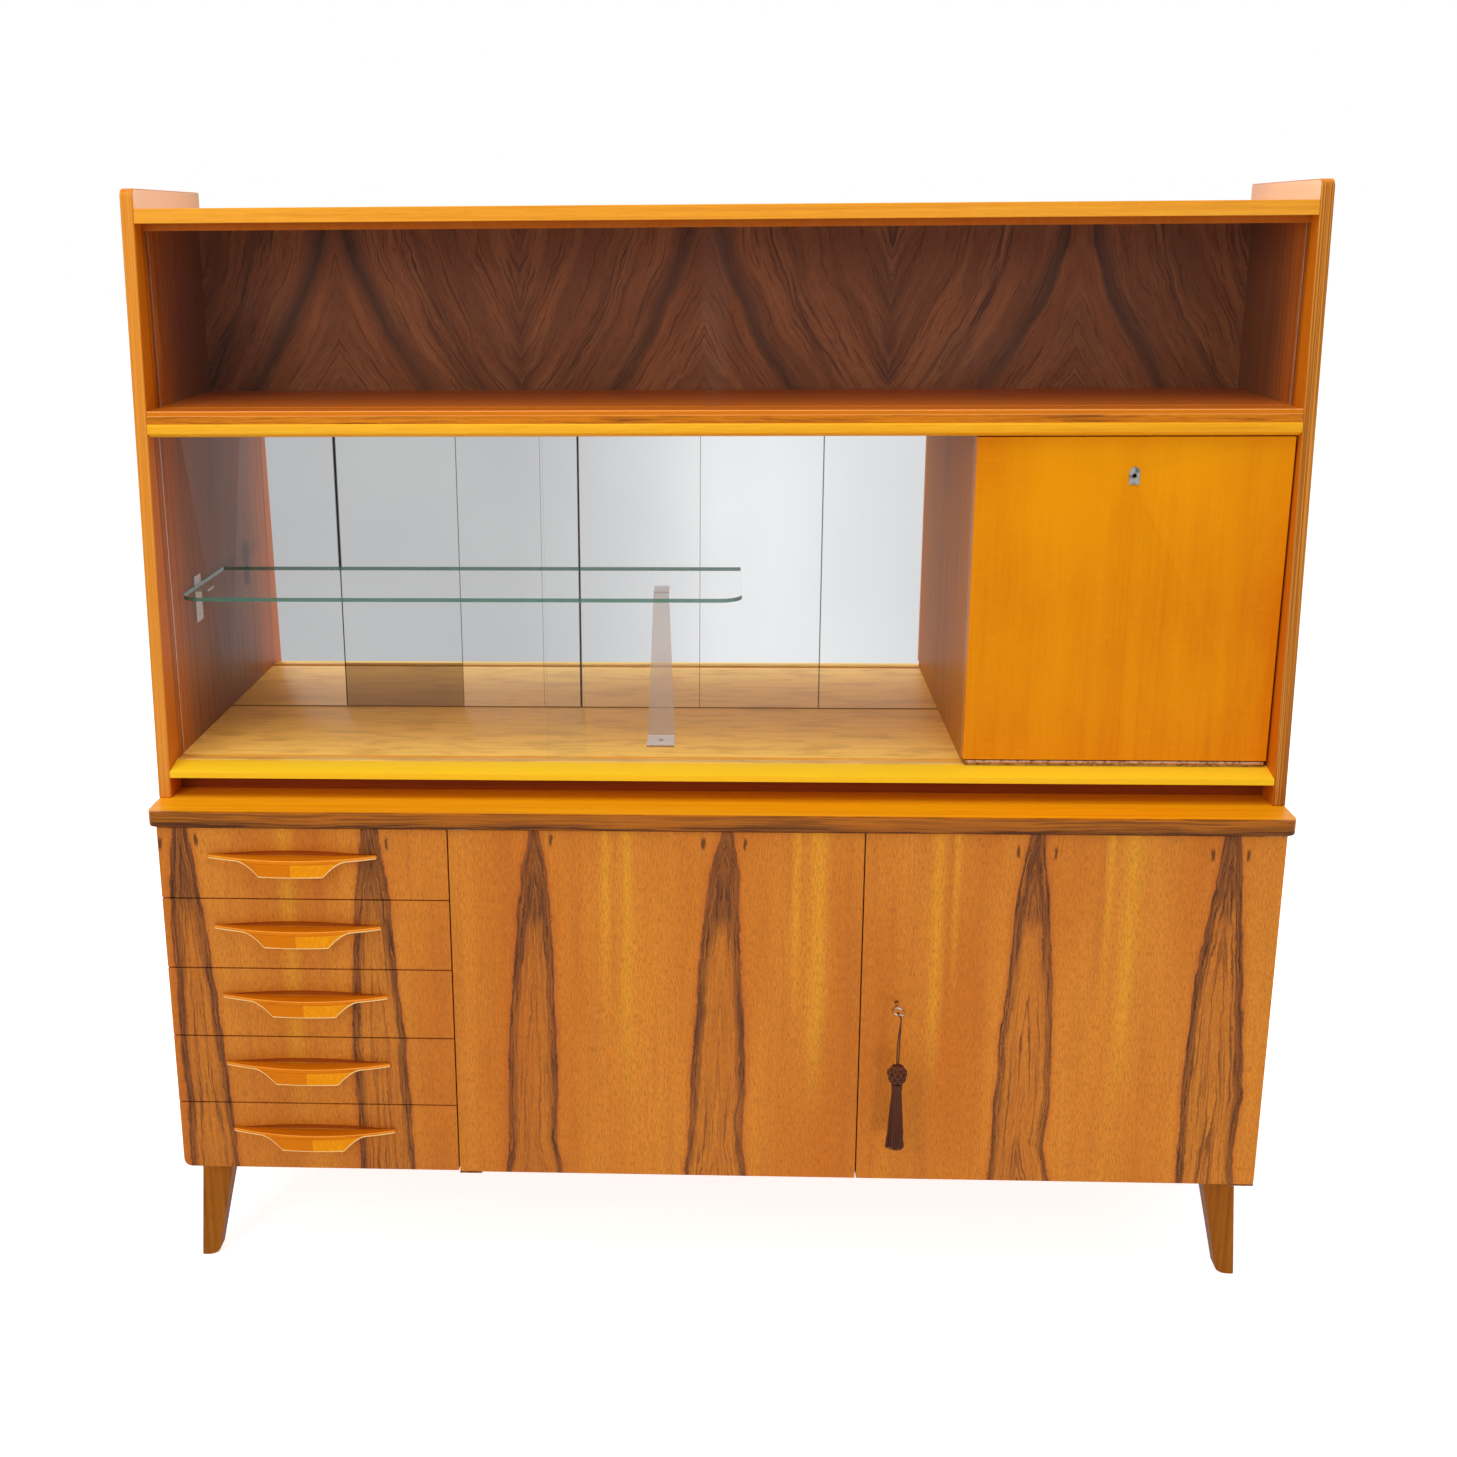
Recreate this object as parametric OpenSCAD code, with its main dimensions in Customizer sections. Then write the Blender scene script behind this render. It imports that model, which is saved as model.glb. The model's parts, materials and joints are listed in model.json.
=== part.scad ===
// Two-stage credenza: drawers and doors below, glass display sections and a drop-flap bar above.
// X runs to the right, Y runs into the depth and Z runs up. The fronts' faces lie at depth zero
// before the whole part is centred on its depth.

/* [Overall] */
// Width of the ledge between the two stages
case_w = 1656; // [1560:2:1760]
// Depth from the faces of the fronts to the back
case_d = 450; // [430:1:500]
// Height of the legs
leg_h = 187; // [120:1:260]
// Height of the lower case, up to the top of the ledge
lower_h = 578; // [560:1:640]
// Height of the upper stage above the ledge
upper_h = 869; // [850:1:940]

/* [Boards] */
// Thickness of the lower case's sides and dividers
board_t = 20; // [16:0.5:22]
// Thickness of the lower case's bottom board
bottom_t = 16; // [12:0.5:18]
// Thickness of the ledge
ledge_t = 23; // [20:0.5:26]
// How far the ledge stands out beyond the case at each side
ledge_side = 13; // [10:0.5:18]
// How far the ledge stands out in front of the fronts
ledge_lip = 5; // [3:0.5:10]
// Radius of the ledge's front corners in plan
ledge_r = 18; // [8:1:24]
// Thickness of the lower case's back
lower_back_t = 8; // [5:0.5:12]
// Thickness of the upper stage's side panels
panel_t = 18.5; // [16:0.5:22]
// Thickness of the upper stage's backs
upper_back_t = 16; // [10:1:18]

/* [Fronts] */
// Thickness of the doors and drawer fronts
front_t = 20; // [18:0.5:22]
// Gap between neighbouring fronts
front_gap = 2; // [1.5:0.1:3]
// Width of the drawer column's fronts
drawer_w = 426.7; // [400:0.1:450]
// Width of the middle door
door_w = 603.3; // [580:0.1:620]
// Corner radius of the outer lower corners of the fronts
front_corner_r = 12; // [4:1:16]

/* [Drawers] */
// Wall thickness of the drawer boxes
box_wall = 10; // [8:0.5:12]
// Bottom thickness of the drawer boxes
box_floor = 4; // [3:0.5:6]
// Height of the drawer boxes
box_h = 80; // [60:1:82]
// Depth of the drawer boxes
box_d = 380; // [340:1:388]
// Width of each drawer runner
runner_w = 14; // [11:0.5:18]
// Height of each drawer runner
runner_h = 8; // [6:0.5:8]

/* [Handles] */
// Length of a handle from tip to tip
handle_l = 250; // [200:1:300]
// How far a handle stands out at its middle
handle_out = 23; // [18:0.5:28]
// Height of a handle's face at its middle
handle_h = 28; // [20:0.5:34]
// Width of the level lower edge of a handle's face
handle_flat = 95; // [60:1:120]
// Thickness of a handle's tips
handle_tip = 6; // [4:0.5:7]
// How far a handle's tips stand out
handle_tip_out = 5; // [3:0.5:8]
// How far a handle's top lies below its drawer's top
handle_drop = 42; // [40:0.5:60]
// How far a handle lies off its drawer's middle
handle_shift = -9; // [-20:0.5:20]
// Depth of the finger scoop over a handle
scoop_r = 8; // [6:0.5:10]

/* [Legs] */
// Width of a leg where it meets the case
leg_top_w = 51; // [44:0.5:60]
// Width of a leg at the floor
leg_foot_w = 31; // [26:0.5:36]
// Depth of a leg where it meets the case
leg_top_d = 50; // [40:0.5:60]
// Depth of a leg at the floor
leg_foot_d = 30; // [24:0.5:36]
// How far a leg's outer edge leans out over its height
leg_splay = 13; // [4:0.5:20]
// How far a leg's outer edge at its top lies in from the ledge's end
leg_inset = 25; // [20:0.5:40]
// Setback of the front legs behind the fronts' faces
leg_setback = 60; // [40:1:80]

/* [Upper stage] */
// Setback of the side panels at the ledge
panel_foot_y = 64; // [56:1:72]
// How far the side panels lean back over each unit of height
panel_lean = 0.052; // [0.03:0.001:0.07]
// Corner radius of the side panels' upper front corners
panel_corner_r = 12; // [4:1:20]
// How far the side panels stand up above the top board
panel_rise = 27; // [16:1:40]
// Thickness of the top board
top_t = 20; // [16:0.5:24]
// Height of the top display section inside
top_bay_h = 256; // [240:1:264]
// Thickness of the middle board
mid_t = 18; // [16:0.5:22]
// Height of the light moulding under the middle board
moulding_h = 19; // [16:0.5:22]
// Height of the plinth under the base board
plinth_h = 31; // [24:1:36]
// Setback of the plinth
plinth_y = 119; // [105:1:130]
// Thickness of the base board
base_t = 17; // [15:0.5:19]
// Thickness of the partition
partition_t = 20; // [18:0.5:22]
// Width of the bar compartment behind the flap
bar_w = 423.5; // [400:0.5:430]

/* [Glass] */
// Thickness of the sliding panes
pane_t = 5; // [4:0.5:5]
// Distance between the two tracks of a pair of panes
track_pitch = 8; // [7.5:0.1:9]
// Setback of the upper front track
upper_track_y = 146; // [142:1:160]
// Setback of the lower front track
lower_track_y = 127; // [126.5:0.5:134]
// Depth of the grooves that the panes stand in
groove_d = 3; // [2:0.5:4]
// How far the two upper panes overlap
pane_lap = 36; // [30:1:60]
// Width of the right lower pane
lower_pane_w = 615; // [600:1:640]
// Thickness of the glass shelf
shelf_t = 6; // [5:0.5:8]
// Length of the glass shelf
shelf_l = 846; // [780:1:880]
// Height of the glass shelf's top above the base board
shelf_up = 236; // [200:1:280]
// Radius of the glass shelf's front corners
shelf_r = 35; // [15:1:50]
// Thickness of the mirror strips
mirror_t = 4; // [3:0.5:6]

/* [Bar flap] */
// Thickness of the bar flap
flap_t = 20; // [18:0.5:20]
// Radius of the piano hinge's knuckles
knuckle_r = 3.25; // [3:0.05:3.5]
// Radius of the piano hinge's pin
hinge_pin_r = 1.5; // [1:0.1:1.8]
// Number of knuckles on each leaf of the piano hinge
knuckle_n = 12; // [6:1:16]
// Length of a stay arm between its centres
stay_l = 247.3; // [247:0.1:247.6]
// Width of a stay arm
stay_w = 12; // [10:0.5:14]
// Radius of the stays' pins
stay_pin_r = 2.5; // [2:0.1:2.8]

/* [Lock and key] */
// Setting of the keyhole from the right door's free edge
key_inset = 52; // [46:0.5:60]
// Height of the keyhole above the lower case's underside
key_up = 290.5; // [270:0.5:310]
// How far the key stands out in front of the door
key_reach = 47; // [44:0.5:56]
// Width of the key's bow
bow_w = 20; // [16:0.5:24]
// Radius of the key's shank
shank_r = 2; // [1.6:0.1:2.4]
// Travel of the lock bolt
bolt_throw = 8; // [6:0.5:8]

/* [Tassel] */
// Radius of the tassel's knot
knot_r = 14.5; // [12:0.5:16]
// Height of the tassel's knot
knot_h = 32; // [28:0.5:36]
// Height of the neck and fringe below the knot
fringe_h = 104; // [80:1:120]
// Radius of the fringe at its lower end
fringe_r = 14; // [11:0.5:16]
// Radius of the tassel's cord
cord_r = 1; // [0.8:0.1:1.2]

/* [Hidden] */
$fn = 48;

// Clearances
rest_gap = 0.3;
run_gap = 0.08;
front_seat = 0.9;
side_gap = 1;
door_clear = 0.5;
mortise_gap = 0.5;
cut = 1;

// Heights from the floor
z_ledge = leg_h + lower_h;
z_under_ledge = z_ledge - ledge_t;
z_floor_board = leg_h + bottom_t;
z_fronts_top = z_under_ledge - front_gap;
z_doors = leg_h + door_clear;
z_drawers = leg_h + front_gap;
z_base = z_ledge + plinth_h;
z_display = z_base + base_t;
z_top_end = z_ledge + upper_h;
z_top = z_top_end - panel_rise - top_t;
z_mid = z_top - top_bay_h - mid_t;
z_mid_top = z_mid + mid_t;
z_moulding = z_mid - moulding_h;

// Widths from the middle
half_w = case_w / 2;
case_x = half_w - ledge_side;
inner_x = case_x - board_t;
panel_x = half_w - panel_t;
drawer_end = -case_x + drawer_w;
middle_x = drawer_end + front_gap;
middle_end = middle_x + door_w;
right_x = middle_end + front_gap;
right_w = case_x - right_x;
drawer_div_x = drawer_end + front_gap / 2;
door_div_x = middle_end + front_gap / 2;
part_x = panel_x - bar_w - partition_t;
bar_x = panel_x - bar_w;

// Depths from the fronts' faces
case_y = front_t + front_seat;
lower_back_y = case_d - lower_back_t;
upper_back_y = case_d - upper_back_t;
mid_y = (case_d - key_reach) / 2;

// Drawers
drawer_n = 5;
drawer_pitch = (z_fronts_top + front_gap - z_drawers) / drawer_n;
drawer_h = drawer_pitch - front_gap;
box_up = 24;
runner_in = 10;
runner_d = box_d - runner_in;
runner_y = case_y + runner_in;
box_x0 = -inner_x + side_gap;
box_x1 = drawer_div_x - board_t / 2 - side_gap;

// Handles
handle_rise = 3;
handle_shoulder = 33;
handle_curve = 1.7;
handle_half_steps = 7;
handle_scatter = [-5.5, -3.6, 1.7, 0, 3];
handle_cap_step = 30;
handle_near_tip = 0.82;
handle_top_steps = 6;
scoop_steps = 10;
scoop_fullness = 2;
lens_rise = handle_out - handle_tip_out;
lens_r = (pow(handle_l / 2, 2) + pow(lens_rise, 2)) / (2 * lens_rise);

// Legs
sole_flat = 8;
sole_rise = 12;
sole_in = 2;
leg_lean_y = 4;
leg_x = half_w - leg_inset;

// Shelves behind the doors
inner_shelf_t = 18;
inner_shelf_up = 268;
inner_shelf_y = 45;
stud = [8, 12, 6];
stud_ins = 60;

// Door pivots
pivot_in = 4;
pivot_r = 2.5;
plate_t = 1.6;
leaf_t = 2;
leaf_l = 34;
leaf_w = 14;
leaf_y = 0.5;
plate_back = 30;

// Upper stage
bevel_back = 44;
bevel_drop = 7.5;
bead_out = 2.5;
bead_top = 2;
strip_h = 11.4;
moulding_d = 20;
moulding_bevel = 9.5;
plinth_t = 20;
part_y = 124;
seams = [1.2, 0.4, 2.2, 0.4, 0.4];
strip_n = 6;

// Glass
groove_play = 0.8;
groove_w = pane_t + groove_play;
rail_h = 10;
rail_wall = 3;
rail_cut = 7;
pull_r = 4;
pull_h = 45;
pull_in = 44;
pull_deep = 1.1;
pull_up = 109;
low_pull_up = 220;
pane_side = 3.5;
lap_shift = 3;
low_pane_lap = 55;
pane_lift = 1;
shelf_y = 165;
shelf_back_gap = 2;
shelf_end_y = upper_back_y - mirror_t - shelf_back_gap;
wall_plate_t = 3;
wall_plate_w = 35;
wall_plate_y = 258;
wall_plate_h = 72;
wall_plate_over = 14;
clip_foot = 20;
strap_t = 3;
strap_w = 42;
strap_from_end = 143.8;
strap_y = 250.5;
strap_foot = 60;
strap_tab = 50;
strap_hole_r = 2;

// Bar flap: the hinge axis lies just behind the flap's face, in the gap under its lower edge
flap_y = 103;
flap_up = 9;
flap_top_gap = 2;
hinge_back = 3;
hinge_up = 5;
hinge_y = flap_y + hinge_back;
hinge_z = z_display + hinge_up;
flap_z = z_display + flap_up;
flap_top = z_moulding - flap_top_gap;
flap_side_gap = 3.5;
flap_end = panel_x - flap_side_gap;
flap_back_y = flap_y + flap_t;
hinge_in = 3;
hinge_len = flap_end - part_x - 2 * hinge_in;
knuckle_pitch = hinge_len / (2 * knuckle_n);
knuckle_play = 0.3;
leaf_plate_t = 1;
leaf_plate_d = 17;
web_t = 1;
web_in = 1.8;

// Stays: the pivot's place on the flap gives each arm an even turn while its pin follows the track
stay_back = 34;
stay_head = 22.9;
stay_angle = 89.3;
stay_turn = 1.866;
stay_t = 2;
stay_step = 1;
track_t = 3;
track_w = 16;
track_end = 15;
pin_play = 1;
slot_end_over = 0.05;
track_pin_y = 143.9;
ear_t = 2;
pin_gap = 0.5;
end_play = 1;
stay_y = hinge_y + stay_back;
stay_z = flap_top - stay_head - stay_l;
stay_z_open = hinge_z + stay_back + stay_l * sin(stay_angle + 90 * (1 - stay_turn));
ear_h = 14;
ear_base = 20;

// Locks
lock_size = [60, 14, 50];
lock_wall = 2;
lock_in = 11;
hole_r = 3;
hole_slot_w = 2.6;
hole_slot_h = 8;
key_x = right_x + key_inset;
key_z = leg_h + key_up;
bolt = [32, 5, 11];
bolt_in = 6;
bolt_y = front_t + bolt_in;
flap_lock_size = [50, 12, 40];
flap_lock_x = 587;
flap_lock_down = 54;
plate_w = 15;
plate_h = 25;
plate_out = 1;

// Key
rim_r = 1.4;
bow_tilt = 10;
bow_r = bow_w / 2 - rim_r;
bow_gap = 7.4;
bow_front_y = -key_reach + rim_r + bow_r;
bow_back_y = bow_front_y + bow_gap;
bit = [7, 3, 2];
bit_in = 1.5;
key_tip_y = front_t + lock_size[1] - pin_gap;

// Tassel: it hangs below the front rim of the key's bow
hang = [key_x, -key_reach + rim_r, key_z];
cord_drop = 78.5;
knot_top_r = 3.2;
neck_r = 8;
neck_h = 10;
knot_steps = 8;
cord_sides = 8;

// Route of the cord's middle line from the point where it hangs, up one side, round the rim and down
cord_route = [
  [-1.3, 0, -78.5], [-1.3, 0, -74], [-1.4, -0.1, -68], [-1.4, -0.2, -62], [-1.3, -0.4, -56],
  [-1.2, -0.6, -50], [-1, -0.9, -44], [-0.6, -1.1, -38], [-0.1, -1.4, -32], [0.5, -1.7, -26],
  [1.1, -2, -20], [1.7, -2.3, -15], [2.2, -2.6, -10.5], [2.4, -3, -6.5], [2.2, -3.5, -3.6],
  [1.3, -4, -1.3], [0, -4.2, 0], [-1.4, -3.7, 1.4], [-2.4, -2.5, 2.4], [-2.9, -0.9, 2.9],
  [-2.9, 0.9, 2.9], [-2.4, 2.5, 2.4], [-1.4, 3.7, 1.4], [0, 4.2, 0], [1.3, 3.8, -1.3],
  [2.3, 3.1, -3.4], [2.8, 2.4, -6.2], [2.9, 2, -10], [2.8, 1.6, -14.5], [2.6, 1.3, -20],
  [2.4, 1, -26], [2.2, 0.8, -32], [2, 0.6, -38], [1.9, 0.5, -44], [1.8, 0.4, -50],
  [1.7, 0.2, -56], [1.5, 0.1, -62], [1.4, 0, -68], [1.3, 0, -74], [1.3, 0, -78.5]];

// Colours
front_wood = [0.78, 0.48, 0.2];
light_wood = [0.95, 0.62, 0.15];
dark_wood = [0.3, 0.18, 0.12];
box_wood = [0.85, 0.68, 0.45];
clear_glass = [0.75, 0.85, 0.85, 0.35];
metal = [0.75, 0.7, 0.62];
nickel = [0.8, 0.8, 0.78];
yarn = [0.36, 0.18, 0.08];

// Centres the part on its depth
module placed() {
  translate([0, -mid_y, 0])
    children();
}

// A board between two corners
module board(lo, hi) {
  translate(lo)
    cube(hi - lo);
}

// An outline of depth and height, drawn out along X
module along_x(x0, x1) {
  translate([x0, 0, 0])
    rotate([90, 0, 90])
      linear_extrude(x1 - x0)
        children();
}

// A round bar along X
module bar_x(x, y, z, r, length) {
  translate([x, y, z])
    rotate([0, 90, 0])
      cylinder(r = r, h = length);
}

// A round bar along Y
module bar_y(x, y, z, r, length) {
  translate([x, y, z])
    rotate([-90, 0, 0])
      cylinder(r = r, h = length);
}

// Depth of the side panels' leaning front edge at a height
function lean_y(z) = panel_foot_y + panel_lean * (z - z_ledge);

// Bottom of a drawer's front, counted from the top drawer
function drawer_z(i) = z_drawers + (drawer_n - i) * drawer_pitch;

// Ledge with round front corners
module ledge_top() {
  r = ledge_r;
  color(light_wood)
    placed()
      translate([0, 0, z_under_ledge])
        linear_extrude(ledge_t)
          union() {
            translate([-half_w, r - ledge_lip])
              square([case_w, case_d + ledge_lip - r]);
            translate([r - half_w, -ledge_lip])
              square([case_w - 2 * r, r + cut]);
            for (s = [-1, 1])
              translate([s * (half_w - r), r - ledge_lip])
                circle(r = r);
          }
}

module lower_sides() {
  color(front_wood)
    placed() {
      board([-case_x, case_y, leg_h], [-inner_x, case_d, z_under_ledge]);
      board([inner_x, case_y, leg_h], [case_x, case_d, z_under_ledge]);
    }
}

module lower_bottom() {
  color(front_wood)
    placed()
      board([-inner_x, case_y, leg_h], [inner_x, lower_back_y, z_floor_board]);
}

module lower_back() {
  color(box_wood)
    placed()
      board([-inner_x, lower_back_y, leg_h], [inner_x, case_d, z_under_ledge]);
}

// Drawer divider, and door divider with the mortise for the lock bolt
module lower_dividers() {
  g = mortise_gap;
  slot = bolt_throw + g;
  color(front_wood)
    placed() {
      board([drawer_div_x - board_t / 2, case_y, z_floor_board],
        [drawer_div_x + board_t / 2, lower_back_y, z_under_ledge]);
      difference() {
        board([door_div_x - board_t / 2, case_y, z_floor_board],
          [door_div_x + board_t / 2, lower_back_y, z_under_ledge]);
        translate([door_div_x + board_t / 2 - slot, bolt_y - g, key_z - bolt[2] / 2 - g])
          cube([slot + cut, bolt[1] + 2 * g, bolt[2] + 2 * g]);
      }
    }
}

// Two battens for each drawer
module drawer_runners() {
  x1 = drawer_div_x - board_t / 2;
  color(box_wood)
    placed()
      for (i = [1:drawer_n]) {
        z = drawer_z(i) + box_up - runner_h;
        board([-inner_x, runner_y, z], [-inner_x + runner_w, runner_y + runner_d, z + runner_h]);
        board([x1 - runner_w, runner_y, z], [x1, runner_y + runner_d, z + runner_h]);
      }
}

// A shelf between two uprights with four blocks under it
module inner_shelf(x0, x1) {
  z = z_floor_board + inner_shelf_up;
  gap = side_gap / 2;
  board([x0 + gap, inner_shelf_y, z], [x1 - gap, lower_back_y - side_gap, z + inner_shelf_t]);
  for (y = [inner_shelf_y + stud_ins, lower_back_y - stud_ins])
    for (x = [x0, x1 - stud[0]])
      translate([x, y, z - stud[2]])
        cube(stud);
}

module lower_shelves() {
  color(box_wood)
    placed() {
      inner_shelf(drawer_div_x + board_t / 2, door_div_x - board_t / 2);
      inner_shelf(door_div_x + board_t / 2, inner_x);
    }
}

// Front outline of a right leg: a straight leaning outer edge and a sole that curves up inwards
module leg_front() {
  flat_x = leg_x + leg_splay - sole_flat;
  curve_w = leg_foot_w - sole_flat - sole_in;
  polygon(concat(
    [[leg_x - leg_top_w, leg_h], [leg_x, leg_h], [leg_x + leg_splay, 0], [flat_x, 0]],
    [for (a = [10:10:90]) [flat_x - curve_w * sin(a), sole_rise * (1 - cos(a))]]));
}

// Side outline of a front leg
module leg_side() {
  polygon([[leg_setback, leg_h], [leg_setback + leg_top_d, leg_h],
    [leg_setback - leg_lean_y + leg_foot_d, 0], [leg_setback - leg_lean_y, 0]]);
}

module one_leg() {
  intersection() {
    translate([0, leg_setback + leg_top_d + cut, 0])
      rotate([90, 0, 0])
        linear_extrude(leg_top_d + leg_lean_y + 2 * cut)
          leg_front();
    along_x(0, case_w)
      leg_side();
  }
}

module legs() {
  color(front_wood)
    placed()
      for (sx = [0, 1])
        for (sy = [0, 1])
          translate([0, sy * case_d, 0])
            mirror([0, sy, 0])
              mirror([sx, 0, 0])
                one_leg();
}

// One pivot plate with its bore, fixed above or below a door's hinge corner
module pivot_plate(x, z, side, back) {
  x0 = side > 0 ? x - pivot_in : x + pivot_in - leaf_l;
  difference() {
    board([x0, -side_gap, z], [x0 + leaf_l, back, z + plate_t]);
    translate([x, pivot_in, z - cut])
      cylinder(r = pivot_r + run_gap, h = plate_t + 2 * cut);
  }
}

pivot_middle_x = middle_x + pivot_in;
pivot_right_x = case_x - pivot_in;

module pivot_plates() {
  color(metal)
    placed()
      for (p = [[pivot_middle_x, 1], [pivot_right_x, -1]]) {
        pivot_plate(p[0], z_under_ledge - plate_t, p[1], front_t);
        pivot_plate(p[0], leg_h - plate_t, p[1], front_t + plate_back);
      }
}

// Outline of a side panel: depth and height, with a leaning front edge and a round upper corner
module panel_outline() {
  r = panel_corner_r;
  tilt = atan(panel_lean);
  c = [lean_y(z_top_end) + r * (1 - sin(tilt)) / cos(tilt), z_top_end - r];
  polygon(concat(
    [[case_d, z_top_end], [case_d, z_ledge], [panel_foot_y, z_ledge]],
    [for (a = [0:9:90]) let(b = 180 - tilt - a * (90 - tilt) / 90) [c[0] + r * cos(b), c[1] + r * sin(b)]]));
}

module upper_side_left() {
  color(light_wood)
    placed()
      along_x(-half_w, -panel_x)
        panel_outline();
}

module upper_side_right() {
  color(light_wood)
    placed()
      along_x(panel_x, half_w)
        panel_outline();
}

// Outline of a board whose front edge follows the side panels
module leaning_board(z0, z1) {
  polygon([[lean_y(z0), z0], [case_d, z0], [case_d, z1], [lean_y(z1), z1]]);
}

module top_board() {
  color(light_wood)
    placed()
      along_x(-panel_x, panel_x)
        leaning_board(z_top, z_top + top_t);
}

// Grooves that a pair of panes stands in
module pane_grooves(x0, x1, y, z) {
  g = groove_w / 2;
  for (c = [y, y + track_pitch])
    board([x0, c - g, z - groove_d], [x1, c + g, z + cut]);
}

module mid_board() {
  color(light_wood)
    placed()
      difference() {
        along_x(-panel_x, panel_x)
          leaning_board(z_mid, z_mid_top);
        pane_grooves(-panel_x - cut, panel_x + cut, upper_track_y, z_mid_top);
      }
}

// Light moulding: a strip with a small bead and a bevel under it
module mid_moulding() {
  y0 = lean_y(z_mid);
  color(light_wood)
    placed()
      along_x(-panel_x, panel_x)
        polygon([[y0, z_mid], [y0 - bead_out, z_mid - bead_top], [y0 - bead_out, z_mid - bead_top - strip_h],
          [y0 + moulding_bevel, z_moulding], [y0 + moulding_d, z_moulding], [y0 + moulding_d, z_mid]]);
}

module partition() {
  color(light_wood)
    placed()
      board([part_x, part_y, z_display], [bar_x, upper_back_y, z_mid]);
}

// Base board with a bevelled front
module base_board() {
  y0 = lean_y(z_base);
  color(light_wood)
    placed()
      difference() {
        along_x(-panel_x, panel_x)
          polygon([[y0, z_base], [upper_back_y, z_base], [upper_back_y, z_display],
            [y0 + bevel_back, z_display], [y0, z_display - bevel_drop]]);
        pane_grooves(-panel_x - cut, part_x, lower_track_y, z_display);
      }
}

module plinth() {
  color(dark_wood)
    placed() {
      board([-panel_x, plinth_y, z_ledge], [panel_x, plinth_y + plinth_t, z_base]);
      board([-panel_x, upper_back_y - plinth_t, z_ledge], [panel_x, upper_back_y, z_base]);
    }
}

module figured_back() {
  color(dark_wood)
    placed()
      board([-panel_x, upper_back_y, z_mid_top], [panel_x, case_d, z_top]);
}

module display_back() {
  color(dark_wood)
    placed()
      board([-panel_x, upper_back_y, z_ledge], [panel_x, case_d, z_mid]);
}

// Six strips side by side, with a seam after each but the last
module mirror_strips() {
  pitch = (panel_x + part_x) / strip_n;
  color([0.85, 0.87, 0.88])
    placed()
      for (i = [0:strip_n - 1]) {
        x0 = -panel_x + i * pitch + (i > 0 ? seams[i - 1] / 2 : 0);
        x1 = -panel_x + (i + 1) * pitch - (i < strip_n - 1 ? seams[i] / 2 : 0);
        board([x0, upper_back_y - mirror_t, z_display], [x1, upper_back_y, z_mid]);
      }
}

shelf_z = z_display + shelf_up - shelf_t;
shelf_x = -panel_x + wall_plate_t + rest_gap;
strap_x = shelf_x + shelf_l - strap_from_end;

// Glass shelf with round front corners
module glass_shelf() {
  r = shelf_r;
  color(clear_glass)
    placed()
      translate([shelf_x, shelf_y, shelf_z])
        linear_extrude(shelf_t)
          union() {
            translate([0, r])
              square([shelf_l, shelf_end_y - shelf_y - r]);
            translate([r, 0])
              square([shelf_l - 2 * r, r + cut]);
            for (x = [r, shelf_l - r])
              translate([x, r])
                circle(r = r);
          }
}

// Clear clip on the left wall: a plate with a foot under the shelf
module shelf_clips() {
  z0 = shelf_z + shelf_t + wall_plate_over - wall_plate_h;
  color(clear_glass)
    placed()
      translate([-panel_x, wall_plate_y, 0])
        union() {
          board([0, 0, z0], [wall_plate_t, wall_plate_w, z0 + wall_plate_h]);
          board([0, 0, shelf_z - wall_plate_t], [wall_plate_t + clip_foot, wall_plate_w, shelf_z]);
        }
}

// Clear bent strap: a foot screwed to the base board, an upright and a tab under the shelf
module shelf_strap() {
  color(clear_glass)
    placed()
      difference() {
        union() {
          board([strap_x, strap_y - strap_foot, z_display],
            [strap_x + strap_w, strap_y + strap_t, z_display + strap_t]);
          board([strap_x, strap_y, z_display], [strap_x + strap_w, strap_y + strap_t, shelf_z]);
          board([strap_x, strap_y, shelf_z - strap_t], [strap_x + strap_w, strap_y + strap_tab, shelf_z]);
        }
        translate([strap_x + strap_w / 2, strap_y - strap_foot / 2, z_display - cut])
          cylinder(r = strap_hole_r, h = strap_t + 2 * cut);
      }
}

// A rail with two grooves open downwards
module top_rail(x0, x1, y, z) {
  g = groove_w / 2;
  difference() {
    board([x0, y - g - rail_wall, z - rail_h], [x1, y + track_pitch + g + rail_wall, z]);
    for (c = [y, y + track_pitch])
      board([x0 - cut, c - g, z - rail_h - cut], [x1 + cut, c + g, z - rail_h + rail_cut]);
  }
}

module glass_tracks() {
  color(light_wood)
    placed() {
      top_rail(-panel_x, panel_x, upper_track_y, z_top);
      top_rail(-panel_x, part_x, lower_track_y, z_mid);
    }
}

// Bar flap
module bar_flap() {
  color(light_wood)
    placed()
      difference() {
        board([part_x, flap_y, flap_z], [flap_end, flap_back_y, flap_top]);
        bar_y(flap_lock_x, flap_y - cut, flap_top - flap_lock_down, hole_r, flap_t + 2 * cut);
      }
}

hinge_x0 = part_x + hinge_in;

// The knuckles of one leaf: every second one along the hinge
module knuckles(first) {
  for (k = [first:2:2 * knuckle_n - 1])
    bar_x(hinge_x0 + k * knuckle_pitch, hinge_y, hinge_z, knuckle_r, knuckle_pitch - knuckle_play);
}

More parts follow.
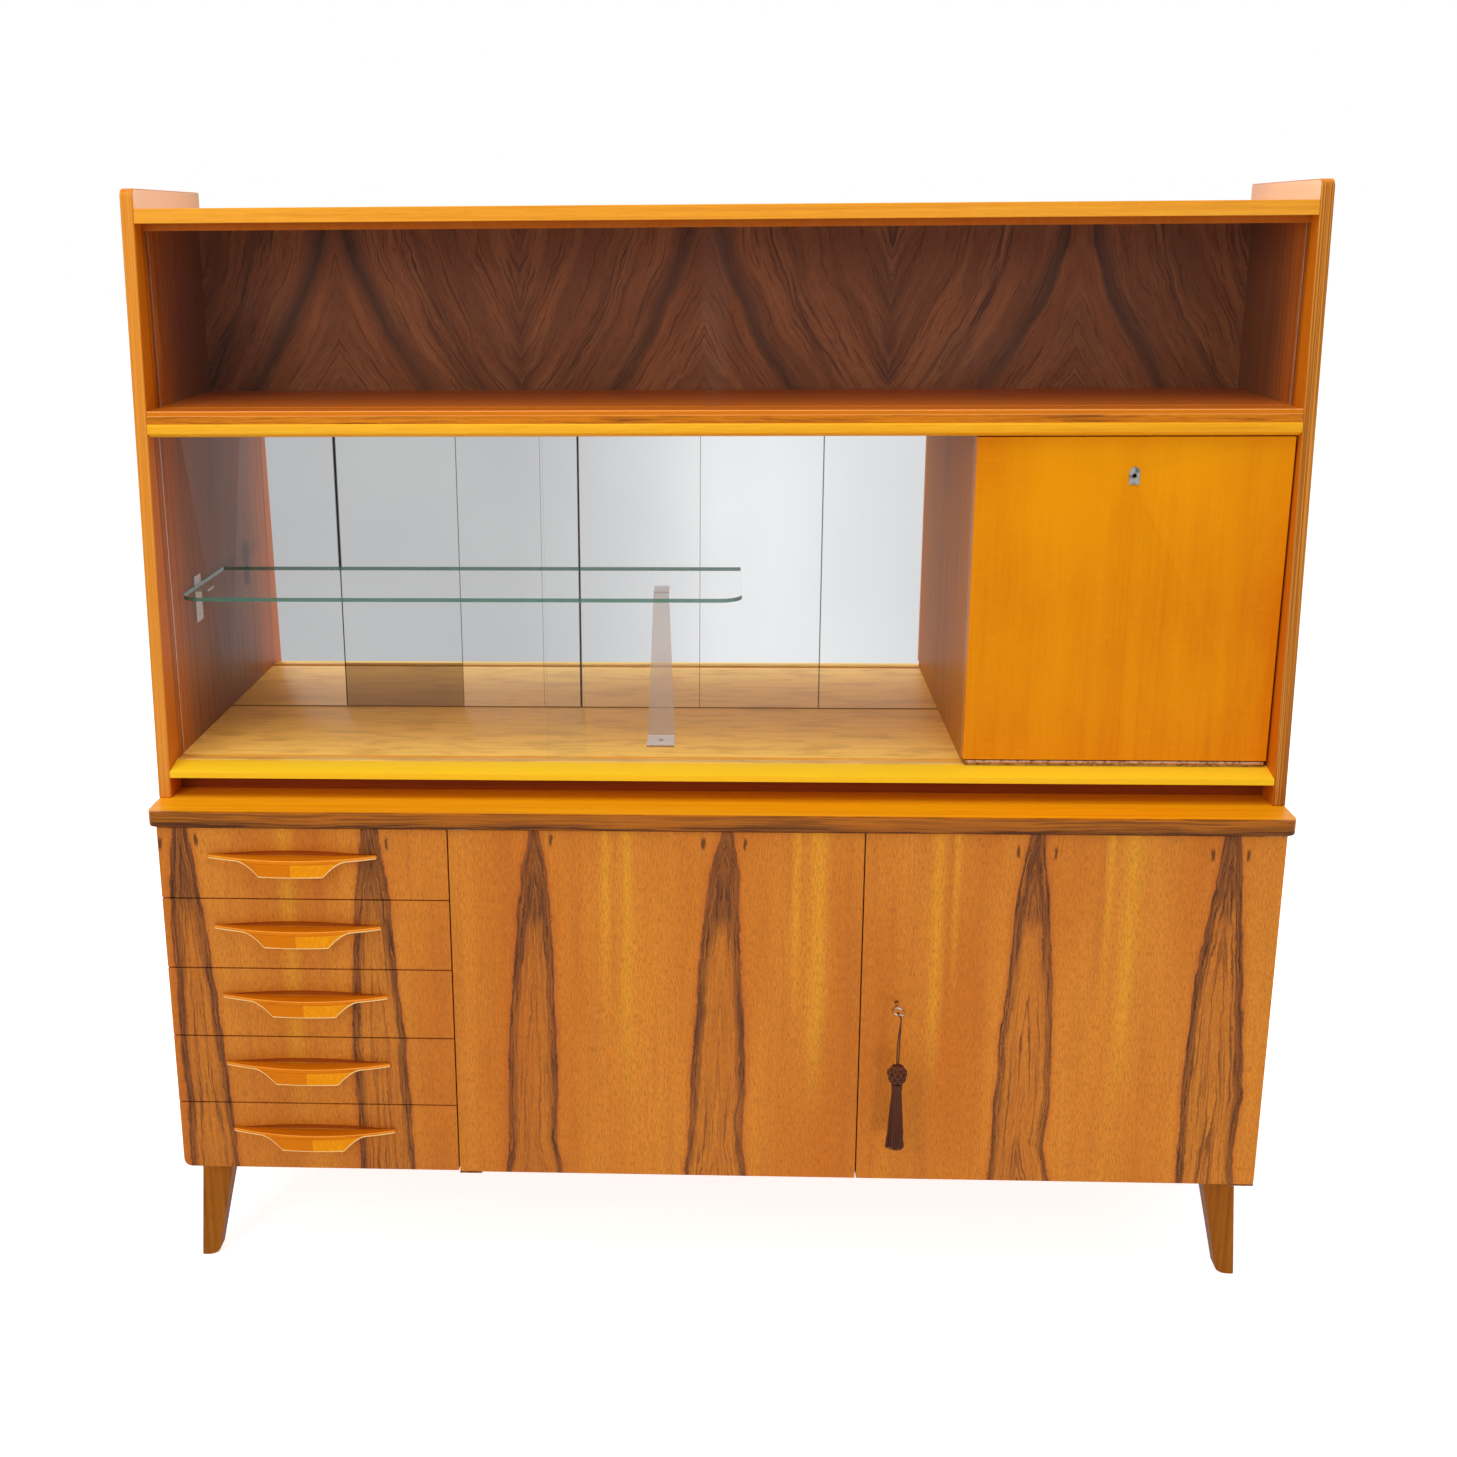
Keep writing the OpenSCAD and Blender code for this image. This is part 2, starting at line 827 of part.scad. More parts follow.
// Fixed leaf of the piano hinge, bored for the pin
module hinge_leaf_base() {
  color(metal)
    placed()
      difference() {
        union() {
          board([hinge_x0, hinge_y, z_display],
            [hinge_x0 + hinge_len, hinge_y + leaf_plate_d, z_display + leaf_plate_t]);
          knuckles(0);
          for (k = [0:2:2 * knuckle_n - 1]) {
            x = hinge_x0 + k * knuckle_pitch;
            board([x, hinge_y, z_display], [x + knuckle_pitch - knuckle_play, hinge_y + web_t, hinge_z]);
          }
        }
        bar_x(hinge_x0 - cut, hinge_y, hinge_z, hinge_pin_r + run_gap, hinge_len + 2 * cut);
      }
}

// Moving leaf of the piano hinge, with the pin
module hinge_leaf_flap() {
  color(metal)
    placed()
      union() {
        board([hinge_x0, hinge_y + web_in, flap_z - leaf_plate_t],
          [hinge_x0 + hinge_len, hinge_y + leaf_plate_d, flap_z]);
        knuckles(1);
        for (k = [1:2:2 * knuckle_n - 1]) {
          x = hinge_x0 + k * knuckle_pitch;
          board([x, hinge_y, hinge_z], [x + knuckle_pitch - knuckle_play, hinge_y + web_in + web_t, flap_z]);
        }
        bar_x(hinge_x0, hinge_y, hinge_z, hinge_pin_r, hinge_len - knuckle_play);
      }
}

// Lock on the flap's inner side and the arched plate round its keyhole
module flap_lock() {
  z = flap_top - flap_lock_down;
  color(metal)
    placed() {
      translate([flap_lock_x - flap_lock_size[0] / 2, flap_back_y, z - flap_lock_size[2] / 2])
        cube(flap_lock_size);
      difference() {
        union() {
          board([flap_lock_x - plate_w / 2, flap_y - plate_out, z - plate_h / 2],
            [flap_lock_x + plate_w / 2, flap_y, z + plate_h / 2 - plate_w / 2]);
          bar_y(flap_lock_x, flap_y - plate_out, z + plate_h / 2 - plate_w / 2, plate_w / 2, plate_out);
        }
        bar_y(flap_lock_x, flap_y - plate_out - cut, z, hole_r, plate_out + 2 * cut);
      }
    }
}

// Copies what belongs to the left stay to the right end of the bar compartment
module both_stays() {
  children();
  right_stay()
    children();
}

module right_stay() {
  translate([bar_x + panel_x, 0, 0])
    mirror([1, 0, 0])
      children();
}

// Slotted track of one stay
module stay_track() {
  slot_r = stay_pin_r + pin_play;
  lo = stay_z_open - end_play;
  hi = stay_z + stay_l * sin(stay_angle) + end_play;
  z0 = lo - track_end;
  z1 = hi + track_end;
  difference() {
    board([bar_x, track_pin_y - track_w / 2, z0], [bar_x + track_t, track_pin_y + track_w / 2, z1]);
    board([bar_x - cut, track_pin_y - slot_r, lo], [bar_x + track_t + cut, track_pin_y + slot_r, hi]);
    for (z = [lo, hi])
      bar_x(bar_x - cut, track_pin_y, z, slot_r + slot_end_over, track_t + 2 * cut);
  }
}

module stay_tracks() {
  color(metal)
    placed()
      both_stays()
        stay_track();
}

// Bracket of one stay: a plate on the flap, an ear and the pin that the arm turns on
module stay_bracket() {
  x = bar_x + track_t + 2 * stay_step + stay_t;
  union() {
    board([x, flap_back_y, stay_z - ear_h / 2], [x + ear_base, flap_back_y + ear_t, stay_z + ear_h / 2]);
    board([x, flap_back_y, stay_z - ear_h / 2], [x + ear_t, stay_y, stay_z + ear_h / 2]);
    bar_x(x, stay_y, stay_z, ear_h / 2, ear_t);
    bar_x(bar_x + track_t + pin_gap, stay_y, stay_z, stay_pin_r, 2 * stay_step - pin_gap + stay_t + ear_t);
  }
}

module stay_brackets() {
  color(metal)
    placed()
      both_stays()
        stay_bracket();
}

// One stay arm: an eye on the bracket's pin and a pin in the track
module stay_arm() {
  x = bar_x + track_t + stay_step;
  translate([0, stay_y, stay_z])
    rotate([stay_angle, 0, 0])
      difference() {
        union() {
          board([x, 0, -stay_w / 2], [x + stay_t, stay_l, stay_w / 2]);
          bar_x(x, 0, 0, stay_w / 2, stay_t);
          bar_x(x, stay_l, 0, stay_w / 2, stay_t);
          bar_x(bar_x + pin_gap, stay_l, 0, stay_pin_r, track_t + stay_step);
        }
        bar_x(x - cut, 0, 0, stay_pin_r + run_gap, stay_t + 2 * cut);
      }
}

module stay_arm_left() {
  color(metal)
    placed()
      stay_arm();
}

module stay_arm_right() {
  color(metal)
    placed()
      right_stay()
        stay_arm();
}

// A pane of glass with a ground finger pull in its face
module pane(x0, x1, y, z0, z1, pull_x, pull_z) {
  color(clear_glass)
    placed()
      difference() {
        board([x0, y - pane_t / 2, z0], [x1, y + pane_t / 2, z1]);
        translate([pull_x, y - pane_t / 2 - pull_r + pull_deep, pull_z])
          cylinder(r = pull_r, h = pull_h);
      }
}

pane_end = panel_x - pane_side;
pane_z0 = z_mid_top - groove_d + rest_gap;
pane_z1 = z_top - rail_h + rail_cut - pane_lift;
low_pane_z0 = z_display - groove_d + rest_gap;
low_pane_z1 = z_mid - rail_h + rail_cut - pane_lift;
low_pane_x = part_x - lower_pane_w - rest_gap;

module upper_pane_left() {
  pane(-pane_end, pane_lap / 2 - lap_shift, upper_track_y + track_pitch, pane_z0, pane_z1,
    -pane_end + pull_in, z_mid_top + pull_up);
}

module upper_pane_right() {
  pane(-pane_lap / 2 - lap_shift, pane_end, upper_track_y, pane_z0, pane_z1,
    pane_end - pull_in, z_mid_top + pull_up);
}

module lower_pane_left() {
  pane(-pane_end, low_pane_x + low_pane_lap, lower_track_y + track_pitch, low_pane_z0, low_pane_z1,
    -pane_end + pull_in, z_display + low_pull_up);
}

module lower_pane_right() {
  pane(low_pane_x, part_x - rest_gap, lower_track_y, low_pane_z0, low_pane_z1, part_x - pull_in,
    z_display + low_pull_up);
}

// What a round lower corner takes away from a front's outline
module corner_cut(r) {
  difference() {
    translate([-cut, -cut])
      square(r + cut);
    translate([r, r])
      circle(r = r);
  }
}

// A front between two corners, with a round lower left or lower right corner
module front(x0, z0, w, h, left_r, right_r) {
  translate([x0, front_t, z0])
    rotate([90, 0, 0])
      linear_extrude(front_t)
        difference() {
          square([w, h]);
          if (left_r > 0)
            corner_cut(left_r);
          if (right_r > 0)
            translate([w, 0])
              mirror([1, 0])
                corner_cut(right_r);
        }
}

// Leaf of one pivot, let into a door's edge
module pivot_leaf(x, z, side) {
  x0 = side > 0 ? x - pivot_in : x + pivot_in - leaf_l;
  board([x0, leaf_y, z], [x0 + leaf_l, leaf_y + leaf_w, z + leaf_t]);
}

// Both pivots of a door
module door_pivots(x, side) {
  color(metal)
    placed() {
      union() {
        pivot_leaf(x, z_fronts_top - leaf_t, side);
        translate([x, pivot_in, z_fronts_top - leaf_t])
          cylinder(r = pivot_r, h = leaf_t + front_gap - rest_gap);
      }
      union() {
        pivot_leaf(x, z_doors, side);
        translate([x, pivot_in, leg_h - plate_t + rest_gap])
          cylinder(r = pivot_r, h = z_doors + leaf_t - leg_h + plate_t - rest_gap);
      }
    }
}

module pivots_middle() {
  door_pivots(pivot_middle_x, 1);
}

module pivots_right() {
  door_pivots(pivot_right_x, -1);
}

module door_middle() {
  color(front_wood)
    placed()
      difference() {
        front(middle_x, z_doors, door_w, z_fronts_top - z_doors, 0, 0);
        pivot_leaf(pivot_middle_x, z_fronts_top - leaf_t, 1);
        pivot_leaf(pivot_middle_x, z_doors, 1);
      }
}

// Right door with an arched keyhole
module door_right() {
  color(front_wood)
    placed()
      difference() {
        front(right_x, z_doors, right_w, z_fronts_top - z_doors, 0, front_corner_r / 2);
        pivot_leaf(pivot_right_x, z_fronts_top - leaf_t, -1);
        pivot_leaf(pivot_right_x, z_doors, -1);
        bar_y(key_x, -cut, key_z, hole_r, front_t + 2 * cut);
        board([key_x - hole_slot_w / 2, -cut, key_z - hole_slot_h],
          [key_x + hole_slot_w / 2, front_t + cut, key_z]);
      }
}

// Lock case on the right door's inner side, bored for the key and slotted for the bolt
module door_lock() {
  x0 = right_x + lock_in;
  z0 = key_z - lock_size[2] / 2;
  w = lock_wall;
  color(metal)
    placed()
      difference() {
        translate([x0, front_t, z0])
          cube(lock_size);
        translate([x0 + w, front_t - cut, z0 + w])
          cube([lock_size[0] - 2 * w, lock_size[1] - w + cut, lock_size[2] - 2 * w]);
        translate([x0 - cut, bolt_y - rest_gap, key_z - bolt[2] / 2 - rest_gap])
          cube([w + 2 * cut, bolt[1] + 2 * rest_gap, bolt[2] + 2 * rest_gap]);
        bar_y(key_x, front_t, key_z, shank_r + run_gap, lock_size[1] + cut);
      }
}

module lock_bolt() {
  color(metal)
    placed()
      translate([right_x + lock_in, bolt_y, key_z - bolt[2] / 2])
        cube(bolt);
}

// Key: an oval bow with its shank and bit, a little off level
module door_key() {
  color(nickel)
    placed()
      translate([key_x, 0, key_z])
        rotate([0, bow_tilt, 0])
          union() {
            for (end = [[bow_back_y, 0], [bow_front_y, 180]])
              translate([0, end[0], 0])
                rotate(end[1])
                  rotate_extrude(angle = 180)
                    translate([bow_r, 0])
                      circle(r = rim_r);
            for (s = [-1, 1])
              bar_y(s * bow_r, bow_front_y, 0, rim_r, bow_gap);
            bar_y(0, bow_back_y + bow_r, 0, shank_r, key_tip_y - bow_back_y - bow_r);
            translate([-bit[0], front_t + bit_in, -bit[2] / 2])
              cube(bit);
          }
}

// Tube along a list of points, with its rings square to the route
module tube(path, r, sides) {
  n = len(path);
  across = [1, 0, 1] / sqrt(2);
  along = [for (i = [0:n - 1]) unit(path[min(i + 1, n - 1)] - path[max(i - 1, 0)])];
  rings = [for (i = [0:n - 1]) let(u = unit(across - (across * along[i]) * along[i]), v = cross(along[i], u))
    for (k = [0:sides - 1]) path[i] + r * (cos(360 * k / sides) * u + sin(360 * k / sides) * v)];
  walls = [for (i = [0:n - 2]) for (k = [0:sides - 1])
    let(a = i * sides + k, b = i * sides + (k + 1) % sides)
    for (f = [[a, b + sides, b], [a, a + sides, b + sides]]) f];
  caps = [for (k = [1:sides - 2]) for (f = [[0, k, k + 1], [(n - 1) * sides, (n - 1) * sides + k + 1,
    (n - 1) * sides + k]]) f];
  polyhedron(rings, concat(walls, caps));
}

function unit(v) = v / norm(v);

// Doubled cord of the tassel, round the rim of the key's bow
module tassel_cord() {
  color(yarn)
    placed()
      translate(hang)
        tube(cord_route, cord_r, cord_sides);
}

// Knot, neck and fringe
module tassel() {
  half = knot_h / 2;
  color(yarn)
    placed()
      translate(hang - [0, 0, cord_drop])
        rotate_extrude()
          polygon(concat(
            [[0, 0], [knot_top_r, 0]],
            [for (k = [1:knot_steps - 1]) let(a = 90 - 150 * k / knot_steps)
              [knot_r * cos(a), half * (sin(a) - 1)]],
            [[neck_r, -knot_h], [neck_r, -knot_h - neck_h], [fringe_r, -knot_h - fringe_h],
              [0, -knot_h - fringe_h]]));
}

// Middle of a handle: each was fitted by hand, a little to one side
function handle_x(i) = (drawer_end - case_x) / 2 + handle_shift + handle_scatter[i - 1];

// Finger scoop over a handle: a spindle let into the front's face, above the handle's top
module scoop(i, z) {
  translate([handle_x(i), 0, z])
    intersection() {
      rotate([0, 90, 0])
        rotate_extrude()
          polygon(concat([[0, -handle_l / 2]],
            [for (k = [1 - scoop_steps:scoop_steps - 1])
              [scoop_r * (1 - pow(k / scoop_steps, scoop_fullness)), handle_l / 2 * k / scoop_steps]],
            [[0, handle_l / 2]]));
      board([-handle_l, -scoop_r - cut, 0], [handle_l, scoop_r + cut, scoop_r + cut]);
    }
}

module drawer_front(i) {
  z = drawer_z(i);
  color(front_wood)
    placed()
      difference() {
        front(-case_x, z, drawer_w, drawer_h, i == drawer_n ? front_corner_r : 0, 0);
        scoop(i, z + drawer_h - handle_drop);
      }
}

// Box of a drawer, open at the top and screwed to its front
module drawer_box(i) {
  z = drawer_z(i) + box_up + rest_gap;
  color(box_wood)
    placed()
      difference() {
        board([box_x0, front_t, z], [box_x1, front_t + box_d, z + box_h]);
        board([box_x0 + box_wall, front_t + box_wall, z + box_floor],
          [box_x1 - box_wall, front_t + box_d - box_wall, z + box_h + cut]);
      }
}

// Lower edge of a handle at a place along it, as a share of the way from its middle to its tip
function handle_edge(x) = let(u = min(1, max(0, (abs(x) - handle_flat / 2) / handle_shoulder)))
  handle_rise * pow(2 * x / handle_l, 2) - handle_tip - (handle_h - handle_tip) * pow(1 - u, handle_curve);

// Carved handle: lens-shaped from above, with a level lower edge, curved shoulders and rounded tips
module drawer_handle(i) {
  z = drawer_z(i) + drawer_h - handle_drop;
  cap_r = handle_tip / 2;
  end = handle_l / 2 - cap_r;
  cap_z = handle_rise * pow(2 * end / handle_l, 2) - cap_r;
  shoulder = [for (k = [0:handle_half_steps]) handle_flat / 2 + handle_shoulder * k / handle_half_steps];
  half = concat(shoulder, [end * handle_near_tip, end]);
  n = len(half);
  xs = concat([for (k = [n - 1:-1:0]) -half[k]], half);
  m = handle_top_steps;
  caps = [for (a = [handle_cap_step - 90:handle_cap_step:90 - handle_cap_step]) cap_r * [cos(a), sin(a)]];
  color(light_wood)
    placed()
      translate([handle_x(i), 0, z])
        intersection() {
          rotate([90, 0, 0])
            linear_extrude(handle_out + cut)
              polygon(concat([for (x = xs) [x, handle_edge(x)]],
                [for (c = caps) [end + c[0], cap_z + c[1]]],
                [for (k = [m:-1:-m]) [end * k / m, handle_rise * pow(2 * end / handle_l * k / m, 2)]],
                [for (c = caps) [-end - c[0], cap_z - c[1]]]));
          translate([0, lens_r - handle_out, -handle_h - cut])
            cylinder(r = lens_r, h = handle_h + handle_rise + 2 * cut, $fn = 180);
        }
}

ledge_top();
lower_sides();
lower_bottom();
lower_back();
lower_dividers();
drawer_runners();
lower_shelves();
legs();
pivot_plates();
upper_side_left();
upper_side_right();
top_board();
mid_board();
mid_moulding();
partition();
base_board();
plinth();
figured_back();
display_back();
mirror_strips();
glass_shelf();
shelf_clips();
shelf_strap();
glass_tracks();
hinge_leaf_base();
stay_tracks();
bar_flap();
hinge_leaf_flap();
flap_lock();
stay_brackets();
stay_arm_left();
stay_arm_right();
upper_pane_left();
upper_pane_right();
lower_pane_left();
lower_pane_right();
door_middle();
door_right();
pivots_middle();
pivots_right();
door_lock();
lock_bolt();
door_key();
tassel_cord();
tassel();
drawer_front(1);  // drawer_front_1
drawer_front(2);  // drawer_front_2
drawer_front(3);  // drawer_front_3
drawer_front(4);  // drawer_front_4
drawer_front(5);  // drawer_front_5
drawer_box(1);  // drawer_box_1
drawer_box(2);  // drawer_box_2
drawer_box(3);  // drawer_box_3
drawer_box(4);  // drawer_box_4
drawer_box(5);  // drawer_box_5
drawer_handle(1);  // drawer_handle_1
drawer_handle(2);  // drawer_handle_2
drawer_handle(3);  // drawer_handle_3
drawer_handle(4);  // drawer_handle_4
drawer_handle(5);  // drawer_handle_5
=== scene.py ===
import functools
import json
import math

import bmesh
import bpy
from mathutils import Matrix, Vector


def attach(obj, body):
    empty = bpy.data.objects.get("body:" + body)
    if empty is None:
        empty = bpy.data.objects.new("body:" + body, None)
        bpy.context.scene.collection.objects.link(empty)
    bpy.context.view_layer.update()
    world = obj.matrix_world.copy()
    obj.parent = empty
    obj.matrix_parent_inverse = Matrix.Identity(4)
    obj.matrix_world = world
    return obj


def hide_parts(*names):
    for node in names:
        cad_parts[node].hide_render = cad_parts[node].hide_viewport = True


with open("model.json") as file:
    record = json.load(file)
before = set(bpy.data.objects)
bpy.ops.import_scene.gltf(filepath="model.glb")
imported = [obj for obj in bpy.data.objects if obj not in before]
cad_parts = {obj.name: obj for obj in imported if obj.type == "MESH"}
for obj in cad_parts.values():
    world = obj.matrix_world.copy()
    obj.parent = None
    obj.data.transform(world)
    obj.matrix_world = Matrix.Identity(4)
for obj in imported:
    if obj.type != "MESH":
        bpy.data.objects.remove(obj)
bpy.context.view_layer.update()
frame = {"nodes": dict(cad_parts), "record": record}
nodes, record = frame["nodes"], frame["record"]
bodyOf = {node: body for body, group in record["behaviour"]["bodies"].items() for node in group}
backStep = -0.2015  # from the door faces to the frame's own origin


def place(x, y, z):  # millimetres from the door faces and the floor to metres in the frame
    return Vector((x / 1000, y / 1000 + backStep, z / 1000))


viewpoint = {"place": (5.5993, -2514.835, 1576.914), "yaw": -0.04892, "pitch": 0.2871, "roll": -0.00724,
             "focal": 1834.766, "middle": (631.973, 769.392), "photo": 1457, "sensor": 36}


def put(name, data):  # a new object in the scene
    obj = bpy.data.objects.new(name, data)
    bpy.context.scene.collection.objects.link(obj)
    return obj


def setCamera(v):
    yaw, pitch, roll = v["yaw"], v["pitch"], v["roll"]
    ahead = Vector((math.sin(yaw) * math.cos(pitch), math.cos(yaw) * math.cos(pitch), -math.sin(pitch)))
    side = Vector((math.cos(yaw), -math.sin(yaw), 0))
    up = side.cross(ahead)
    right = math.cos(roll) * side + math.sin(roll) * up
    top = -math.sin(roll) * side + math.cos(roll) * up
    data = bpy.data.cameras.new("camera")
    data.sensor_fit, data.sensor_width = "HORIZONTAL", v["sensor"]
    data.lens = v["focal"] / v["photo"] * v["sensor"]
    data.shift_x = 0.5 - v["middle"][0] / v["photo"]
    data.shift_y = v["middle"][1] / v["photo"] - 0.5
    data.clip_start, data.clip_end = 0.05, 60
    camera = put("camera", data)
    turn = Matrix((right, top, -ahead)).transposed().to_4x4()
    camera.matrix_world = Matrix.Translation(place(*v["place"])) @ turn
    bpy.context.scene.camera = camera


setCamera(viewpoint)
bpy.context.scene.view_settings.view_transform = "Standard"
print("camera set")


def tint(red, green, blue):  # a colour as read from a picture, made linear
    def linear(value):
        value = value / 255
        return value / 12.92 if value <= 0.04045 else ((value + 0.055) / 1.055) ** 2.4
    return (linear(red), linear(green), linear(blue), 1)


class Wire:  # a node's socket that can be reckoned with
    def __init__(self, tree, socket):
        self.tree, self.socket = tree, socket

    def make(self, kind, settings=None, inputs=None, output=0):
        node = self.tree.nodes.new(kind)
        for key, value in (settings or {}).items():
            if key == "stops":
                while len(node.color_ramp.elements) < len(value):
                    node.color_ramp.elements.new(0.5)
                for element, (position, colour) in zip(node.color_ramp.elements, value):
                    element.position = position
                for element, (position, colour) in zip(node.color_ramp.elements, value):
                    element.color = colour
            else:
                setattr(node, key, value)
        for key, value in (inputs or {}).items():
            if isinstance(value, Wire):
                self.tree.links.new(value.socket, node.inputs[key])
            else:
                node.inputs[key].default_value = value
        return Wire(self.tree, node.outputs[output])

    def sum(self, operation, *values):
        return self.make("ShaderNodeMath", {"operation": operation}, dict(enumerate(values)))

    def __add__(self, other):
        return self.sum("ADD", self, other)

    def __sub__(self, other):
        return self.sum("SUBTRACT", self, other)

    def __mul__(self, other):
        return self.sum("MULTIPLY", self, other)

    def __truediv__(self, other):
        return self.sum("DIVIDE", self, other)

    def __rsub__(self, other):
        return self.sum("SUBTRACT", other, self)

    __radd__, __rmul__ = __add__, __mul__

    def least(self, other):
        return self.sum("MINIMUM", self, other)

    def most(self, other):
        return self.sum("MAXIMUM", self, other)

    def size(self):
        return self.sum("ABSOLUTE", self)

    def power(self, other):
        return self.sum("POWER", self, other)

    def rise(self, low, high):  # 0 below low, 1 above high, smooth between
        return self.make("ShaderNodeMapRange", {"interpolation_type": "SMOOTHSTEP"},
                         {"Value": self, "From Min": low, "From Max": high, "To Min": 0.0, "To Max": 1.0})

    def bump(self, centre, width):  # 1 at the centre, 0 from width away
        return 1 - (self - centre).size().rise(0.0, width)

    def ramp(self, stops):
        return self.make("ShaderNodeValToRGB", {"stops": stops}, {"Fac": self})

    def mix(self, first, second):  # self is the share of the second colour; a plain colour is red, green, blue
        first, second = (tint(*colour) if isinstance(colour, tuple) else colour for colour in (first, second))
        return self.make("ShaderNodeMix", {"data_type": "RGBA"}, {0: self, 6: first, 7: second}, 2)

    def split(self):
        node = self.make("ShaderNodeSeparateXYZ", None, {0: self}).socket.node
        return [Wire(self.tree, socket) for socket in node.outputs]

    def joined(self, x, y, z):
        return self.make("ShaderNodeCombineXYZ", None, {0: x, 1: y, 2: z})

    def scaled(self, share):
        return self.make("ShaderNodeVectorMath", {"operation": "SCALE"}, {0: self, "Scale": share})

    def noise(self, x, y, z, detail=2.0, roughness=0.5):
        inputs = {"Vector": self.joined(x, y, z), "Scale": 1.0, "Detail": detail, "Roughness": roughness}
        return self.make("ShaderNodeTexNoise", None, inputs)


def finish(name, build, bumpHeight=0.0, **constants):  # a material whose pattern stands in the frame's metres
    material = bpy.data.materials.new(name)
    material.use_nodes = True
    tree = material.node_tree
    shader = tree.nodes["Principled BSDF"]
    for socket, value in constants.items():
        shader.inputs[socket.replace("_", " ")].default_value = value
    coords = tree.nodes.new("ShaderNodeTexCoord")
    spot = Wire(tree, coords.outputs["Object"])
    spot.uv, spot.facing = Wire(tree, coords.outputs["UV"]), Wire(tree, coords.outputs["Normal"]).split()
    x, y, z = spot.split()
    spot.depth = y - backStep  # metres behind the faces of the fronts
    results = build(spot, x, y, z)
    height = results.pop("Height", None)
    if height is not None:
        results["Normal"] = spot.make("ShaderNodeBump", None,
                                      {"Strength": 1.0, "Distance": bumpHeight, "Height": height}, 0)
    for socket, value in results.items():
        tree.links.new(value.socket, shader.inputs[socket])
    return material


stageLook = {"floor": (246, 246, 246), "glow": 0.76, "reach": 40.0,
             "image": 3.17, "slopes": (-0.3, 0.2),  # where the mirror shows the camera, and the span it sees
             "mirrored": [(0.0, 190), (0.28, 196), (0.38, 198), (0.46, 210), (0.53, 224), (0.60, 242), (0.66, 244),
                          (0.78, 232), (0.88, 218), (1.0, 210)]}  # share of that span, grey
lamps = {"over": {"place": (-300, -900, 4300), "aim": (0, 200, 600), "size": 3.2, "power": 92},
         "key": {"place": (-1900, -3100, 2300), "aim": (0, 200, 850), "size": 1.6, "power": 34},
         "low": {"place": (900, -1700, 60), "aim": (200, 0, 480), "size": 0.22, "power": 6.0}}
world = {"strength": 0.41}  # for all but the camera, mirrors and glass, which see it white


def rayKinds(tree):
    return {socket.name: Wire(tree, socket) for socket in tree.nodes.new("ShaderNodeLightPath").outputs}


def setStage(look):
    floor = bpy.data.meshes.new("floor")
    reach = look["reach"]
    corners = [(-reach, -reach, 0), (reach, -reach, 0), (reach, reach, 0), (-reach, reach, 0)]
    floor.from_pydata(corners, [], [(0, 1, 2, 3)])
    material = bpy.data.materials.new("pale_floor")
    material.use_nodes = True
    tree = material.node_tree
    shader = tree.nodes["Principled BSDF"]
    shader.inputs["Base Color"].default_value = tint(*look["floor"])
    shader.inputs["Roughness"].default_value = 0.9
    shader.inputs["Specular IOR Level"].default_value = 0.0
    plain, rays = Wire(tree, shader.outputs[0]), rayKinds(tree)
    x, y, z = Wire(tree, tree.nodes.new("ShaderNodeTexCoord").outputs["Object"]).split()
    low, high = look["slopes"]
    share = (x / (look["image"] - y) - low) / (high - low)
    grey = share.ramp([(position, tint(value, value, value)) for position, value in look["mirrored"]])
    mirrored = grey.make("ShaderNodeEmission", None, {"Color": grey})
    glow = mirrored.make("ShaderNodeEmission", None, {"Strength": look["glow"]})
    seen = rays["Is Camera Ray"].most(rays["Is Transmission Ray"])
    lit = seen.make("ShaderNodeAddShader", None, {0: plain, 1: glow})
    mixed = seen.make("ShaderNodeMixShader", None, {0: seen, 1: plain, 2: lit})
    mixed = seen.make("ShaderNodeMixShader", None, {0: rays["Is Glossy Ray"], 1: mixed, 2: mirrored})
    tree.links.new(mixed.socket, tree.nodes["Material Output"].inputs["Surface"])
    floor.materials.append(material)
    put("floor", floor)


def setLight(lamps, world):
    for name, lamp in lamps.items():
        data = bpy.data.lights.new(name, "AREA")
        data.shape, data.size, data.energy = "DISK", lamp["size"], lamp["power"]
        obj = put(name, data)
        start, end = place(*lamp["place"]), place(*lamp["aim"])
        obj.matrix_world = Matrix.Translation(start) @ (end - start).to_track_quat("-Z", "Y").to_matrix().to_4x4()
        obj.visible_camera = obj.visible_glossy = obj.visible_transmission = False
    sky = bpy.context.scene.world or bpy.data.worlds.new("studio")
    bpy.context.scene.world = sky
    sky.use_nodes = True
    back, rays = sky.node_tree.nodes["Background"], rayKinds(sky.node_tree)
    back.inputs["Color"].default_value = (1, 1, 1, 1)
    seen = rays["Is Camera Ray"].most(rays["Is Glossy Ray"]).most(rays["Is Transmission Ray"])
    strength = seen * (1 - world["strength"]) + world["strength"]
    sky.node_tree.links.new(strength.socket, back.inputs["Strength"])


setStage(stageLook)
setLight(lamps, world)
print("stage and lamps set")


